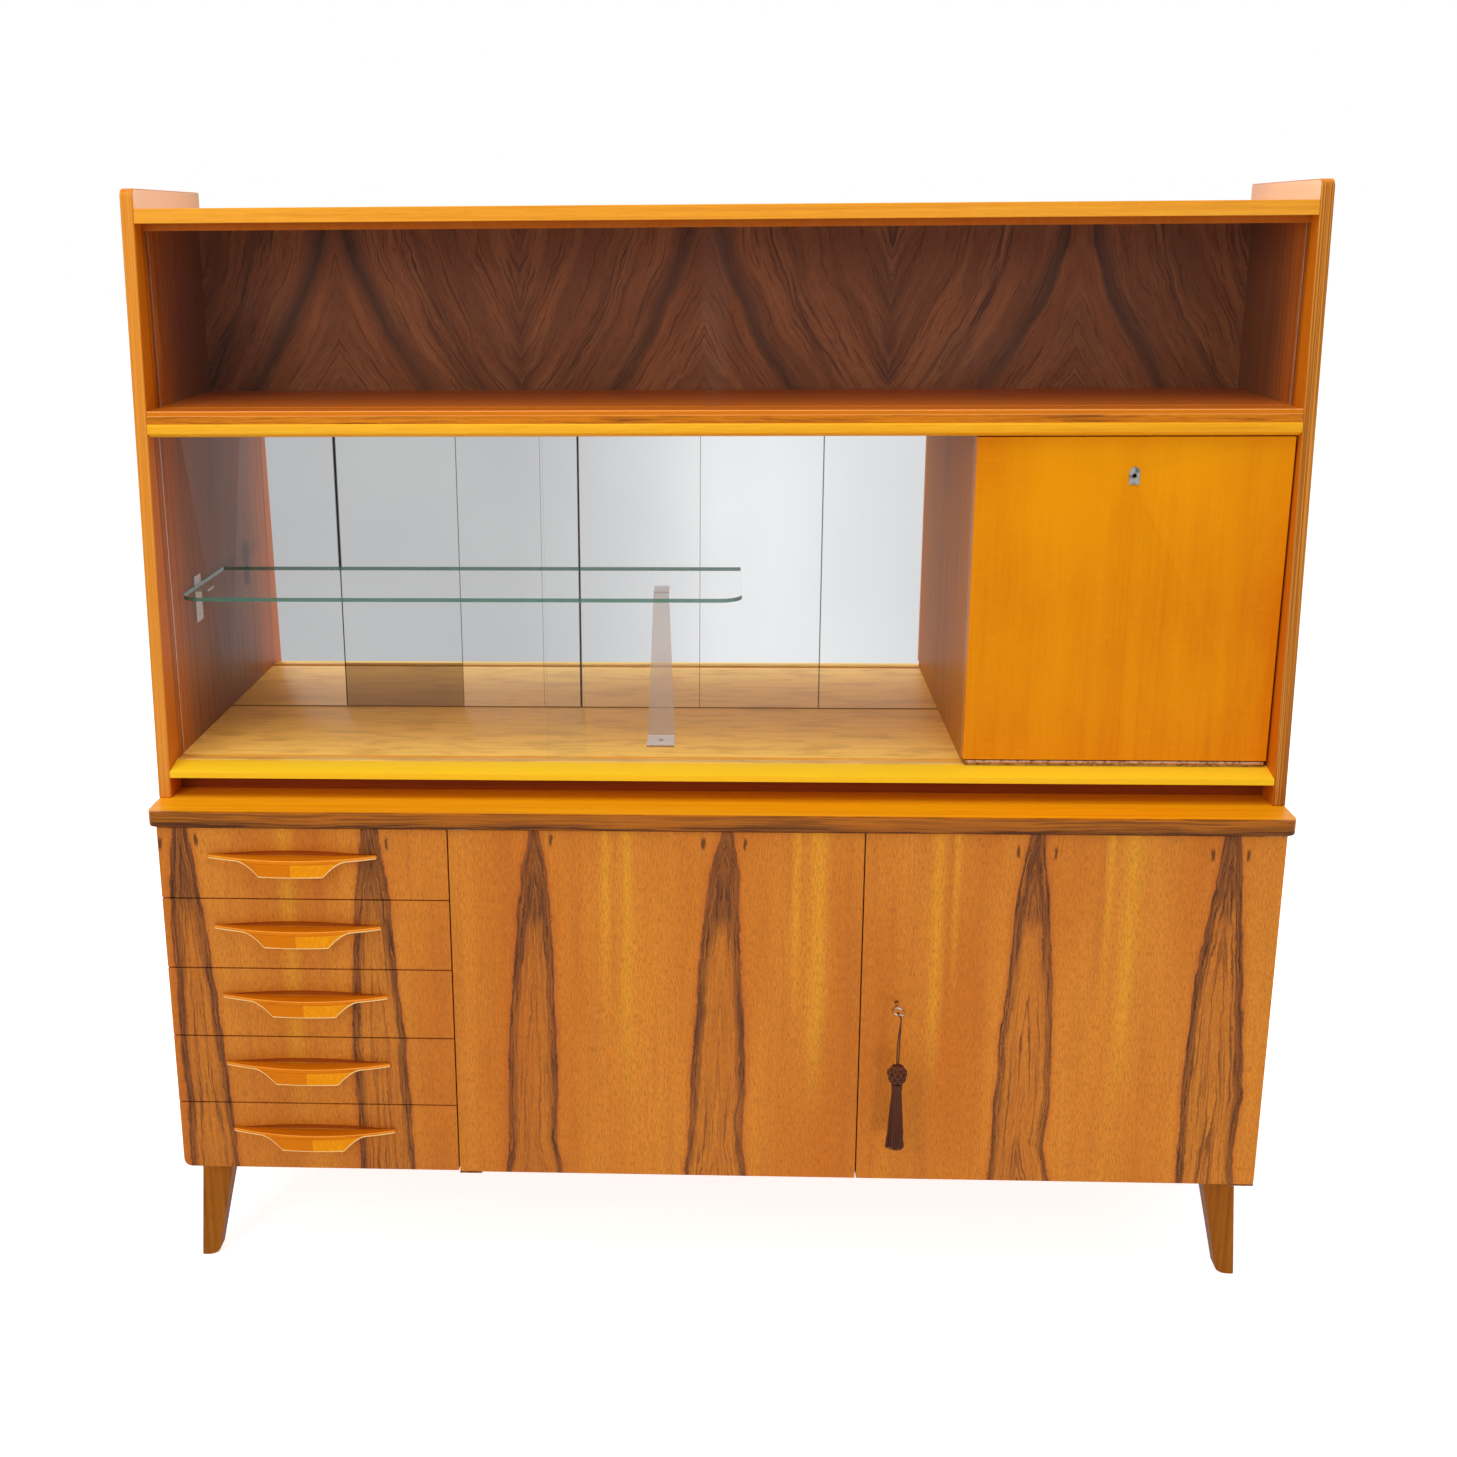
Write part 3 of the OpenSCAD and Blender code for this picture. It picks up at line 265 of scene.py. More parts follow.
spires = {  # dark pointed figures: z, left and right outline in millimetres, and how much of the width is dark
    "drawersLeft": [(194, -804, -728, 0.25), (300, -804, -734, 0.4), (412, -806, -740, 0.5),
                    (522, -804, -748, 0.65), (635, -802, -757, 0.95), (742, -794, -769, 1.0)],
    "drawersRight": [(199, -539, -455, 0.3), (305, -541, -458, 0.4), (416, -541, -462, 0.5),
                     (525, -536, -471, 0.65), (638, -526, -478, 0.95), (742, -515, -489, 1.0)],
    "middleLeft": [(182, -315, -227, 0.25), (242, -309, -237, 0.3), (315, -309, -234, 0.4), (420, -304, -233, 0.5),
                   (528, -295, -236, 0.55), (610, -287, -237, 0.95), (683, -280, -243, 1.0), (742, -268, -254, 1.0)],
    "middleRight": [(187, -43, 51, 0.2), (241, -37, 45, 0.3), (320, -34, 49, 0.4), (424, -28, 48, 0.5),
                    (532, -20, 41, 0.6), (613, -12, 40, 0.95), (680, -6, 37, 1.0), (742, 10, 27, 1.0)],
    "rightLeft": [(189, 415, 510, 0.25), (249, 420, 496, 0.4), (327, 422, 504, 0.4), (430, 425, 501, 0.45),
                  (537, 434, 493, 0.6), (618, 436, 488, 0.95), (684, 444, 481, 1.0), (742, 453, 476, 1.0)],
    "rightRight": [(198, 697, 782, 0.3), (254, 699, 780, 0.35), (332, 696, 786, 0.4), (434, 699, 777, 0.45),
                   (522, 703, 773, 0.6), (621, 714, 762, 0.9), (687, 722, 758, 1.0), (742, 729, 750, 1.0)]}
veneerFront = {"low": 0.187, "high": 0.742,
               "yellow": [(-127, 17, 380), (-158, 12, 520), (153, 22, 360), (120, 10, 500), (325, 17, 400),
                          (352, 9, 540), (603, 22, 380), (570, 10, 520), (-628, 22, 330)],  # x, half width, lower end
               "marks": [(-758, 722), (-476, 718), (-812, 715), (-236, 726), (-15, 722), (45, 721), (437, 714),
                         (490, 712), (712, 711), (764, 711)],  # x and z of small dark marks high on the fronts
               "base": (220, 138, 46), "warm": (204, 116, 36), "gold": (232, 160, 44), "brown": (176, 102, 40),
               "dark": (112, 67, 40), "line": (60, 37, 26), "halo": (184, 86, 38), "pore": (146, 76, 24),
               "scoop": (196, 100, 28), "scoopFrom": (0.0005, 0.0014), "scoopTo": (0.0085, 0.0095)}


def coats(colour, tones, layers):  # each layer is the share of its tone and the tone's name
    for share, tone in layers:
        colour = share.mix(colour, tones[tone])
    return colour


def grained(colour, fine, rough, swing):  # the pores roughen the surface and sink into it
    return {"Base Color": colour, "Roughness": rough + fine * swing, "Height": fine.rise(0.5, 0.75) * -1.0}


def frontVeneer(spot, x, y, z):
    v = veneerFront
    wave = spot.noise(x * 32.0, 0.0, z * 9.0, 3.0, 0.6) - 0.5
    hair = spot.noise(x * 170.0, 0.0, z * 30.0) - 0.5
    jag = spot.noise(x * 60.0, 0.0, z * 260.0) - 0.5
    bent = x + wave * 0.013 + hair * 0.007 + jag * 0.0035
    height = (z - v["low"]) / (v["high"] - v["low"])
    found = []
    for points in spires.values():
        stops = []
        for level, left, right, fill in points:
            share = (level / 1000 - v["low"]) / (v["high"] - v["low"])
            stops.append((min(1.0, max(0.0, share)), ((left / 1000 + 1) / 2, (right / 1000 + 1) / 2, fill, 1)))
        left, right, fill = height.ramp(stops).split()
        inward = (bent - (left * 2 - 1)).least(right * 2 - 1 - bent)
        inside = inward.rise(-0.0015, 0.0015)
        band = (1 - inward.rise(0.005, 0.011 + fill * 0.012)).most(fill.rise(0.78, 1.0)) * inside
        found.append((band, inside, inward.bump(0.0, 0.010), inward))
    dark, core, halo, depth = (functools.reduce(Wire.most, layers) for layers in zip(*found))
    rings = spot.noise(depth * 330.0, x * 3.0, z * 6.0, 3.0, 0.62)  # lines that follow the outline
    threads = spot.noise(depth * 720.0, x * 4.0, z * 15.0, 3.0, 0.6)
    fibres = spot.noise(bent * 190.0, 0.0, z * 4.0, 4.0, 0.68)
    slow = spot.noise(x * 9.0, 0.0, z * 1.3)
    fine = spot.noise(x * 640.0, 0.0, z * 110.0, 3.0, 0.7)
    fleck = spot.noise(x * 420.0, 0.0, z * 62.0, 3.0, 0.7)
    ripple = spot.noise(x * 20.0 + wave * 2.0, 0.0, z * 95.0 + wave * 5.0)
    flame = spot.noise(x * 42.0, 0.0, z * 3.0, 3.0)
    layers = [(slow.rise(0.33, 0.7), "warm"), (flame.rise(0.42, 0.8) * 0.35, "brown")]
    for centre, half, lower in v["yellow"]:
        glow = (x + wave * 0.008).bump(centre / 1000, half / 1000) * z.rise(lower / 1000 - 0.12, lower / 1000 + 0.12)
        layers.append((glow * (0.42 + 0.5 * fibres.rise(0.3, 0.65)), "gold"))
    lines = dark * threads.rise(0.47, 0.60) * 0.9 + core * rings.rise(0.57, 0.65) * 0.4
    layers += [
        (fibres.rise(0.5, 0.72) * 0.30, "halo"),
        (ripple.rise(0.5, 0.78) * 0.16, "brown"),
        (halo * 0.40, "halo"),
        (core * (0.22 + rings.rise(0.36, 0.62) * 0.5), "brown"),
        (core * rings.rise(0.50, 0.66) * 0.50, "dark"),
        (dark * (0.34 + rings.rise(0.30, 0.60) * 0.55), "dark"),
        (lines.least(0.92), "line")]
    for across, level in v["marks"]:
        beside = (bent - across / 1000).size().rise(0.0012, 0.0036)
        beyond = (z - level / 1000).size().rise(0.004, 0.013)
        layers.append(((1 - beside) * (1 - beyond) * 0.85, "line"))
    # the recess above each handle: its own redder wood, darkened by painted shade
    scoop = spot.depth.rise(*v["scoopFrom"]) * (1 - spot.depth.rise(*v["scoopTo"]))
    layers += [
        (fleck.rise(0.42, 0.66) * 0.26, "pore"),
        (fine.rise(0.46, 0.68) * 0.50, "pore"),
        (scoop * spot.facing[1].size().rise(0.05, 0.2) * 0.8, "scoop")]
    return grained(coats(v["base"], v, layers), fine, 0.34, 0.12)


plainWood = {  # base, dark streak, pale streak, grain counts per metre along x y z, and how strong
    "ledge": ((242, 162, 8), (214, 112, 8), (248, 178, 34), (2.2, 95, 120), 0.5),
    "flap": ((220, 130, 0), (202, 106, 2), (230, 146, 6), (150, 95, 4.5), 0.42),
    "edging": ((236, 158, 44), (206, 118, 26), (246, 180, 64), (3.0, 130, 170), 0.45),
    "strip": ((242, 172, 30), (220, 134, 16), (252, 194, 56), (3.0, 130, 170), 0.45),
    "rail": ((210, 122, 20), (142, 74, 14), (228, 146, 32), (5.0, 70, 110), 0.7),
    "side": ((216, 122, 24), (172, 84, 16), (232, 148, 44), (110, 110, 2.4), 0.55),
    "handle": ((228, 126, 2), (190, 84, 2), (242, 154, 14), (5.0, 160, 190), 0.5),
    "leg": ((166, 94, 18), (112, 60, 14), (184, 114, 34), (190, 190, 5.0), 0.6),
    "inside": ((212, 164, 96), (184, 132, 70), (228, 186, 122), (2.4, 120, 120), 0.5),
    "plinth": ((156, 70, 14), (104, 42, 8), (168, 80, 20), (2.4, 120, 120), 0.5),
    "drawerBox": ((206, 164, 108), (182, 136, 82), (222, 186, 134), (3.0, 3.0, 130), 0.5)}


def woodLook(key, extra=None):
    base, dark, pale, (gx, gy, gz), share = plainWood[key]

    def build(spot, x, y, z):
        stretch = spot.noise(x * gx * 0.35, y * gy * 0.10, z * gz * 0.10) - 0.5
        streak = spot.noise(x * gx + stretch * 2.0, y * gy + stretch * 2.4, z * gz + stretch * 2.4, 5.0, 0.66)
        broad = spot.noise(x * gx * 0.3, y * gy * 0.16, z * gz * 0.16)
        fine = spot.noise(x * gx * 7.0, y * gy * 7.0, z * gz * 7.0, 3.0, 0.65)
        colour = (broad.rise(0.45, 0.75) * share).mix((streak.rise(0.42, 0.70) * share).mix(base, dark), pale)
        colour = (fine.rise(0.46, 0.68) * 0.4).mix(colour, dark)
        if extra:
            colour = extra(spot, x, y, z, colour, streak, fine)
        return grained(colour, fine, 0.33, 0.12)
    return build


ledgeStreak = {"dark": (76, 38, 12), "front": (156, 80, 16), "arris": (222, 140, 36),
               "lower": (0.7445, 0.7525), "top": (0.7625, 0.7640)}


def ledgeFront(spot, x, y, z, colour, streak, fine):  # the front edge is browner and has a dark flowing streak; its top arris gets a painted highlight
    v = ledgeStreak
    front = 1 - spot.depth.rise(-0.0005, 0.0035)
    sway = (spot.noise(x * 4.0, 0.0, 0.0) - 0.5) * 0.018
    flow = spot.noise(x * 6.0, 5.0, (z + sway) * 330.0, 3.0, 0.6).rise(0.44, 0.58)
    along = spot.noise(x * 2.2, 3.0, 0.0).rise(0.36, 0.56)
    low = 1 - (z + sway * 0.5).rise(*v["lower"])
    arris = spot.depth.bump(0.001, 0.0022) * z.rise(*v["top"])
    return coats(colour, v, [
        (front * 0.85, "front"),
        ((front * flow * (0.30 + low * 0.6 + along * 0.25)).least(0.95), "dark"),
        (front * low * along * 0.55, "dark"),
        (arris * 0.55, "arris")])


flapGlow = {"amber": (238, 154, 2), "deep": (206, 100, 0), "paler": (0.98, 1.29), "hole": (34, 24, 14),
            "keyhole": {"x": 0.587, "z": 1.240, "half": 0.010, "tall": 0.016, "depth": (0.1045, 0.1055)}}


def flapTone(spot, x, y, z, colour, streak, fine):  # paler and yellower towards the top, in soft clouds, with painted shade in the keyhole's bore
    v, k = flapGlow, flapGlow["keyhole"]
    cloud = spot.noise(x * 7.0, 1.0, z * 3.5)
    shimmer = spot.noise(x * 60.0 + fine * 3.0, 0.0, z * 190.0).rise(0.5, 0.72)
    hole = x.bump(k["x"], k["half"]) * z.bump(k["z"], k["tall"]) * spot.depth.rise(*k["depth"])
    return coats(colour, v, [
        (z.rise(*v["paler"]) * 0.45 + cloud.rise(0.42, 0.66) * 0.4, "amber"),
        (cloud.rise(0.44, 0.26) * 0.35, "deep"),
        (shimmer * 0.22, "amber"),
        (hole.rise(0.02, 0.2), "hole")])


walnut = {"peak": -0.0205, "period": 0.577, "top": 1.597, "start": 0.010, "lean": 0.20, "sag": 0.95,
          "base": (132, 78, 44), "pale": (172, 108, 64), "red": (168, 92, 42), "dark": (56, 34, 22)}


def walnutBack(spot, x, y, z):  # a book-matched feather: arches that curve away from each peak
    v = walnut
    half = v["period"] / 2
    fold = spot.sum("PINGPONG", x - v["peak"] + v["period"] * 4, half)
    drop = v["top"] - z
    wave = spot.noise(fold * 13.0, x * 1.2, z * 10.0, 3.0) - 0.5
    kink = spot.noise(fold * 60.0, x * 1.0, z * 34.0) - 0.5
    across = fold - drop * v["lean"] - drop * drop * v["sag"] - v["start"] + wave * 0.030 + kink * 0.006
    along = drop + fold * 0.5
    fibres = spot.noise(across * 210.0, x * 1.5, along * 8.0, 5.0, 0.68)
    broad = spot.noise(across * 34.0, x * 1.5, along * 4.0, 3.0)
    fine = spot.noise(across * 640.0, x * 9.0, along * 90.0, 3.0, 0.7)
    shade = (1 - across.rise(0.004, 0.042)) * across.rise(-0.010, 0.004) * (0.35 + 0.65 * broad.rise(0.3, 0.6))
    seam = 1 - (half - fold).rise(0.0, 0.034)
    colour = coats(v["base"], v, [
        (broad.rise(0.38, 0.68) * 0.8, "pale"),
        (fibres.rise(0.46, 0.66) * 0.55, "red"),
        (shade * 0.76, "dark"),
        (across.bump(0.095, 0.028) * fibres.rise(0.4, 0.6) * 0.5, "dark"),
        (across.bump(-0.024, 0.024) * drop.rise(0.02, 0.12) * 0.26, "red"),
        (seam * 0.55 * fibres.rise(0.35, 0.6), "dark"),
        (fibres.rise(0.53, 0.62) * 0.6, "dark"),
        (fine.rise(0.48, 0.68) * 0.5, "dark")])
    return grained(colour, fine, 0.3, 0.15)


handlePlace = {"middle": -610.65, "scatter": (-5.5, -3.6, 1.7, 0, 3), "top": 698.0, "pitch": 110.6,
               "long": 250, "rise": 3, "tip": 6, "high": 28, "flat": 95, "shoulder": 33, "curve": 1.7,
               "wing": 6.6, "screwX": 45, "screwY": 30, "screwDown": 12.6}  # millimetres; scatter is each one's shift
# the under and top tones are painted shade; the lip and nose tones are painted highlights
handleTones = {"wing": (236, 140, 2), "body": (216, 118, 0), "joint": (140, 66, 12), "fleck": (246, 176, 14),
               "under": (170, 76, 2), "top": (160, 78, 8), "lip": (255, 224, 150), "nose": (252, 172, 74)}


def handleTone(number):  # two blocks glued in the middle and a paler wing over them, with painted highlights on the lower lip and the wing's top front edge, and painted shade under the wing and on the faces turned up
    p, v = handlePlace, handleTones
    middle = (p["middle"] + p["scatter"][number - 1]) / 1000
    level = (p["top"] - p["pitch"] * (number - 1)) / 1000

    def extra(spot, x, y, z, colour, streak, fine):
        along = (x - middle).size()
        crest = along * along * (4 * p["rise"] * 1000 / p["long"] ** 2) + level
        step = ((along - p["flat"] / 2000) / (p["shoulder"] / 1000)).most(0.0).least(1.0)
        foot = crest - p["tip"] / 1000 - (1 - step).power(p["curve"]) * ((p["high"] - p["tip"]) / 1000)
        right = x.rise(middle - 0.0004, middle + 0.0004)
        up = spot.facing[2].rise(0.3, 0.8)
        flecks = spot.noise(x * 330.0, y * 330.0, z * 230.0).rise(0.46, 0.62)
        body = coats(v["body"], v, [(right, "wing"), (right * (0.10 + flecks * 0.5), "fleck")])
        under = crest - p["wing"] / 1000
        colour = ((1 - (z - under).rise(-0.0004, 0.0004)) * 0.8).mix(colour, body)
        # painted highlight along the lower lip; then painted shade under the wing and on the faces turned up, and a
        # painted highlight along the wing's top front edge
        lip = (1 - (z - foot).rise(0.0014, 0.0030)) * (1 - up) * (0.7 + streak * 0.4)
        return coats(colour, v, [
            ((z - under).bump(0.0, 0.0009) * (1 - step) * (1 - up) * 0.6, "under"),
            (up * 0.6, "top"),
            (lip.least(0.95), "lip"),
            ((z - crest).rise(-0.0024, -0.0012) * (1 - up) * 0.55, "nose"),
            (x.bump(middle, 0.0005) * 0.35, "joint")])
    return extra


# the inner and rear tones are painted shade on the walls inside the displays
sideTone = {"edge": (162, 92, 24), "edgeLeft": (214, 132, 40), "line": (228, 152, 62), "ear": (255, 214, 176),
            "front": (206, 106, 6), "inner": (158, 94, 46), "rear": (122, 74, 44), "innerDark": (104, 56, 28),
            "reveal": (66, 36, 20)}
sidePlace = {"foot": 0.064, "lean": 0.052, "ledge": 0.765, "bay": 1.321, "topBoard": 1.607, "inside": 0.8095,
             "upperPane": 0.141, "lowerPane": 0.122}  # metres behind the fronts, above the floor or off the middle


def sideFace(spot, x, y, z, colour, streak, fine):  # a leaning edge of fine layers, and walls inside the displays that darken inwards as painted shade
    v, p = sideTone, sidePlace
    behindEdge = spot.depth - p["foot"] - p["lean"] * (z - p["ledge"])
    front = 1 - behindEdge.rise(0.0008, 0.0035)
    upper = z.rise(p["ledge"], p["ledge"] + 0.002)
    away = x.size() - p["inside"]
    inner = (1 - away.rise(-0.0140, -0.0003)).most((1 - away.rise(0.0001, 0.0005)) * upper) * (1 - front)
    high = z.rise(p["bay"] - 0.001, p["bay"] + 0.001)
    behindPane = spot.depth - p["lowerPane"] - high * (p["upperPane"] - p["lowerPane"])
    behind = behindPane.rise(-0.0005, 0.0005)
    # painted shade: behind the panes the walls darken from the front tone through the inner tone to the rear tone
    wall = coats(v["front"], v, [
        (behind * (0.35 + behindPane.rise(0.03, 0.12) * 0.65), "inner"),
        (behindPane.rise(0.05, 0.26) * 0.85, "rear")])
    inside = inner * upper
    ear = inner * z.rise(p["topBoard"] - 0.0005, p["topBoard"] + 0.0005)
    colour = (inside * (0.62 + behind * 0.33)).mix(colour, wall)
    colour = coats(colour, v, [
        (inside * behind * streak.rise(0.45, 0.66) * 0.5, "innerDark"),
        (inside * behindPane.bump(0.0, 0.0016) * 0.8, "reveal"),
        (ear * (1 - behindEdge.rise(0.16, 0.5) * 0.4), "ear")])
    lines = spot.noise(x * 520.0, 0.0, z * 2.0).rise(0.42, 0.62)
    edge = x.rise(-0.1, 0.1).mix(v["edgeLeft"], v["edge"])
    colour = (front * upper).mix(colour, edge)
    return (front * upper * lines * 0.7).mix(colour, v["line"])


railTone = {"above": (190, 100, 30), "bead": (246, 166, 88), "band": (212, 116, 14), "figure": (118, 60, 14),
            "bandFrom": (1.3240, 1.3246), "lowBead": 1.3242, "highBead": 1.3306}


def railFace(spot, x, y, z, colour, streak, fine):  # the board between the displays: beads with painted highlights, a band, a figure
    v = railTone
    up = spot.facing[2].rise(0.3, 0.8)
    flow = spot.noise(x * 9.0, 2.0, z * 300.0 + streak * 2.0, 3.0, 0.6).rise(0.50, 0.62)
    patch = spot.noise(x * 5.0, 7.0, 0.0).rise(0.42, 0.6)
    bead = (z.bump(v["highBead"], 0.0016) * 0.85).least(1 - spot.depth.rise(0.094, 0.097))
    return coats(colour, v, [
        (up * 0.85, "above"),
        ((1 - up) * flow * patch * 0.7, "figure"),
        ((1 - up) * z.rise(*v["bandFrom"]) * 0.85, "band"),
        (bead, "bead"),
        (z.bump(v["lowBead"], 0.0012) * (1 - up) * 0.6, "bead")])


baseTone = {"floor": (246, 184, 84), "near": (255, 206, 100), "bevel": (250, 206, 36), "arris": (255, 230, 140),
            "seam": (196, 132, 54), "groove": (128, 74, 26), "top": (0.8120, 0.8128), "front": (0.1085, 0.1100),
            "grooves": [(113.2, 1.8), (118.5, 1.3), (122.5, 1.0), (131.0, 0.8)]}  # depth and half width


def baseFace(spot, x, y, z, colour, streak, fine):  # pale floor of the display with a bright bevelled front, painted shade in the glass-track grooves and a painted highlight on the front arris
    v = baseTone
    top = z.rise(*v["top"])
    cloud = spot.noise(x * 9.0, y * 26.0, 0.0, 3.0, 0.6)
    grooves = [((spot.depth.bump(middle / 1000, half / 1000) * 0.85).least(0.8), "groove")
               for middle, half in v["grooves"]]
    floor = coats(v["floor"], v, [
        (1 - spot.depth.rise(0.11, 0.36), "near"),
        (cloud.rise(0.46, 0.66) * 0.42, "seam"),
        (streak.rise(0.46, 0.72) * 0.36, "seam"),
        (fine.rise(0.50, 0.70) * 0.3, "seam")] + grooves)
    bevel = (1 - spot.depth.rise(*v["front"])) * (1 - top)
    arris = spot.depth.bump(0.1095, 0.0025) * z.rise(0.8105, 0.8125) * (1 - spot.facing[2].rise(0.9, 0.99))
    return coats(top.mix(colour, floor), v, [(bevel * 0.85, "bevel"), (arris * 0.9, "arris")])


partitionTone = {"warm": (188, 118, 26), "deep": (138, 80, 14)}


def partitionFace(spot, x, y, z, colour, streak, fine):  # the wall of the bar, in a quieter brown than the sides
    wall = 1 - spot.facing[1].size().rise(0.3, 0.7)
    return coats(colour, partitionTone, [(wall * 0.9, "warm"), (wall * streak.rise(0.44, 0.68) * 0.45, "deep")])


woods = {  # material, its look, height of the bumps in metres, shine
    "veneer": ("front_veneer", frontVeneer, 0.00006, 0.14),
    "ledge": ("ledge_veneer", woodLook("ledge", ledgeFront), 0.00004, 0.25),
    "flap": ("flap_veneer", woodLook("flap", flapTone), 0.00004, 0.1),
    "edging": ("light_edging", woodLook("edging"), 0.00004, 0.14),
    "strip": ("moulding_wood", woodLook("strip"), 0.00004, 0.14),
    "rail": ("rail_veneer", woodLook("rail", railFace), 0.00004, 0.14),
    "side": ("side_veneer", woodLook("side", sideFace), 0.00004, 0.14),
    "leg": ("leg_wood", woodLook("leg"), 0.00007, 0.1),
    "partition": ("partition_veneer", woodLook("side", partitionFace), 0.00004, 0.04),
    "inside": ("inside_wood", woodLook("inside"), 0.00005, 0.2),
    "base": ("base_wood", woodLook("edging", baseFace), 0.00003, 0.1),
    "plinth": ("plinth_wood", woodLook("plinth"), 0.00005, 0.2),
    "box": ("drawer_wood", woodLook("drawerBox"), 0.00006, 0.14),
    "walnut": ("feather_back", walnutBack, 0.00005, 0.2)}
for i in range(1, 6):
    woods["handle%d" % i] = ("handle_wood_%d" % i, woodLook("handle", handleTone(i)), 0.00004, 0.1)
looks = {key: finish(name, look, height, Specular_IOR_Level=shine)
         for key, (name, look, height, shine) in woods.items()}
print("woods made")


mirrorLook = {"pale": (250, 251, 252), "dull": (243, 244, 246), "seam": (40, 38, 34), "worn": (150, 128, 96),
              "foot": (70, 44, 24), "footTo": (0.8140, 0.8152), "dim": (-613.6, -417.7, 888),
              "seams": [(-613.6, 3.8, 1040, 0.95), (-613.6, 1.6, 810, 0.7), (-417.7, 1.3, 810, 0.5),
                        (-283.0, 1.0, 810, 0.35), (-221.7, 2.6, 810, 0.95), (-25.8, 1.0, 810, 0.35),
                        (170.1, 1.6, 810, 0.7)]}  # x, half width, lower end, strength; dim: x from, x to, upper end


def mirrorFace(spot, x, y, z):  # six silvered strips with dark edges; one carries a painted darker reflection low down, and a painted brown reflection runs along the foot
    v = mirrorLook
    haze = spot.noise(x * 3.0, 0.0, z * 3.0)
    dust = spot.noise(x * 260.0, y * 260.0, z * 260.0)
    first, last, high = (value / 1000 for value in v["dim"])
    dim = x.rise(first, first + 0.001) * (1 - x.rise(last - 0.001, last))
    layers = [(haze.rise(0.3, 0.8), "pale"), (dim * (1 - z.rise(high - 0.001, high + 0.001)) * 0.75, "worn")]
    # dark joints between the strips; where a seam widens into a broad band, that band is partly a painted reflection
    # of a dark gap
    for centre, half, low, share in v["seams"]:
        line = x.bump(centre / 1000, half / 1000) * z.rise(low / 1000, low / 1000 + 0.01)
        layers.append(((line * share * 1.6).least(share), "seam"))
    colour = coats(v["dull"], v, layers + [((1 - z.rise(*v["footTo"])) * 0.85, "foot")])
    return {"Base Color": colour, "Roughness": 0.012 + dust.rise(0.6, 0.9) * 0.03}


def metalFace(base, dark, scale, rough):
    def build(spot, x, y, z):
        wear = spot.noise(x * scale, y * scale, z * scale, 3.0)
        brush = spot.noise(x * 60.0, y * 1500.0, z * 1500.0)
        colour = wear.rise(0.42, 0.7).mix(base, dark)
        return {"Base Color": colour, "Roughness": rough + wear * 0.15 + brush * 0.08}
    return build


def glassFace(clear, edge, haze, edgeHaze, thin=1):  # clear faces; the ground edges hold more colour
    def build(spot, x, y, z):
        side = 1 - spot.facing[thin].size().rise(0.3, 0.7)
        rim = spot.make("ShaderNodeLayerWeight", None, {"Blend": 0.3}, "Facing").power(4.0)
        smear = spot.noise(x * 4.0, 0.0, z * 9.0, 3.0).rise(0.55, 0.85)
        colour = side.mix(clear, edge)
        alpha = haze + smear * haze + rim * 0.05 + side * edgeHaze
        return {"Base Color": colour, "Roughness": 0.04 + smear * 0.06, "Alpha": alpha.least(1.0)}
    return build


yarnTones = {"low": (46, 19, 4), "high": (106, 48, 14), "fuzz": (146, 72, 26),
             "plies": 2, "turns": 0.42}  # turns per millimetre


def yarnTwist(spot, x, y, z):  # UV: u runs round the yarn, v along it in millimetres
    t = yarnTones
    u, v = spot.uv.split()[:2]
    ply = spot.sum("SINE", (u * t["plies"] + v * t["turns"]) * (2 * math.pi)) * 0.5 + 0.5
    fuzz = spot.noise(x * 2600.0, y * 2600.0, z * 900.0)
    colour = (fuzz.rise(0.5, 0.75) * 0.5).mix(ply.mix(t["low"], t["high"]), t["fuzz"])
    return {"Base Color": colour, "Roughness": 0.6 + fuzz * 0.2, "Height": ply + fuzz * 0.4}


looks.update({
    "mirror": finish("silvered_glass", mirrorFace, Metallic=1.0),
    "glass": finish("clear_glass", glassFace((225, 240, 235), (196, 206, 198), 0.004, 0.45), IOR=1.5),
    "shelfGlass": finish("shelf_glass", glassFace((214, 236, 228), (58, 112, 92), 0.02, 0.85, 2), IOR=1.5),
    "acrylic": finish("clear_acrylic", glassFace((188, 166, 150), (236, 226, 220), 0.36, 0.3), IOR=1.49),
    "brass": finish("worn_brass", metalFace((206, 164, 136), (140, 98, 76), 160.0, 0.26), Metallic=1.0),
    "steel": finish("lock_steel", metalFace((186, 184, 178), (120, 116, 110), 120.0, 0.3), Metallic=1.0),
    "nickel": finish("nickel_plate", metalFace((222, 220, 210), (170, 166, 152), 140.0, 0.14), Metallic=1.0),
    "yarn": finish("twisted_yarn", yarnTwist, 0.0003, Sheen_Weight=0.03, Sheen_Roughness=0.4)})
print("glass, metals and yarn made")


def allSmooth(mesh):
    for face in mesh.polygons:
        face.use_smooth = True
    return mesh


def newPiece(name, mesh, body, look, sharpFrom=None):  # look is a key of looks, sharpFrom in degrees
    obj = put(name, mesh)
    mesh.materials.clear()
    mesh.materials.append(looks[look])
    if sharpFrom:
        mesh.set_sharp_from_angle(angle=math.radians(sharpFrom))
        allSmooth(mesh)
    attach(obj, body)
    return obj


def baked(obj, name):  # the object with its modifiers, as a plain mesh
    graph = bpy.context.evaluated_depsgraph_get()
    mesh = bpy.data.meshes.new_from_object(obj.evaluated_get(graph))
    mesh.name = name
    bpy.data.objects.remove(obj)
    return mesh


easeLook = {"merge": 0.00002, "flat": 1.0, "corner": 35, "sharp": 24, "segments": 2}  # metres, then degrees


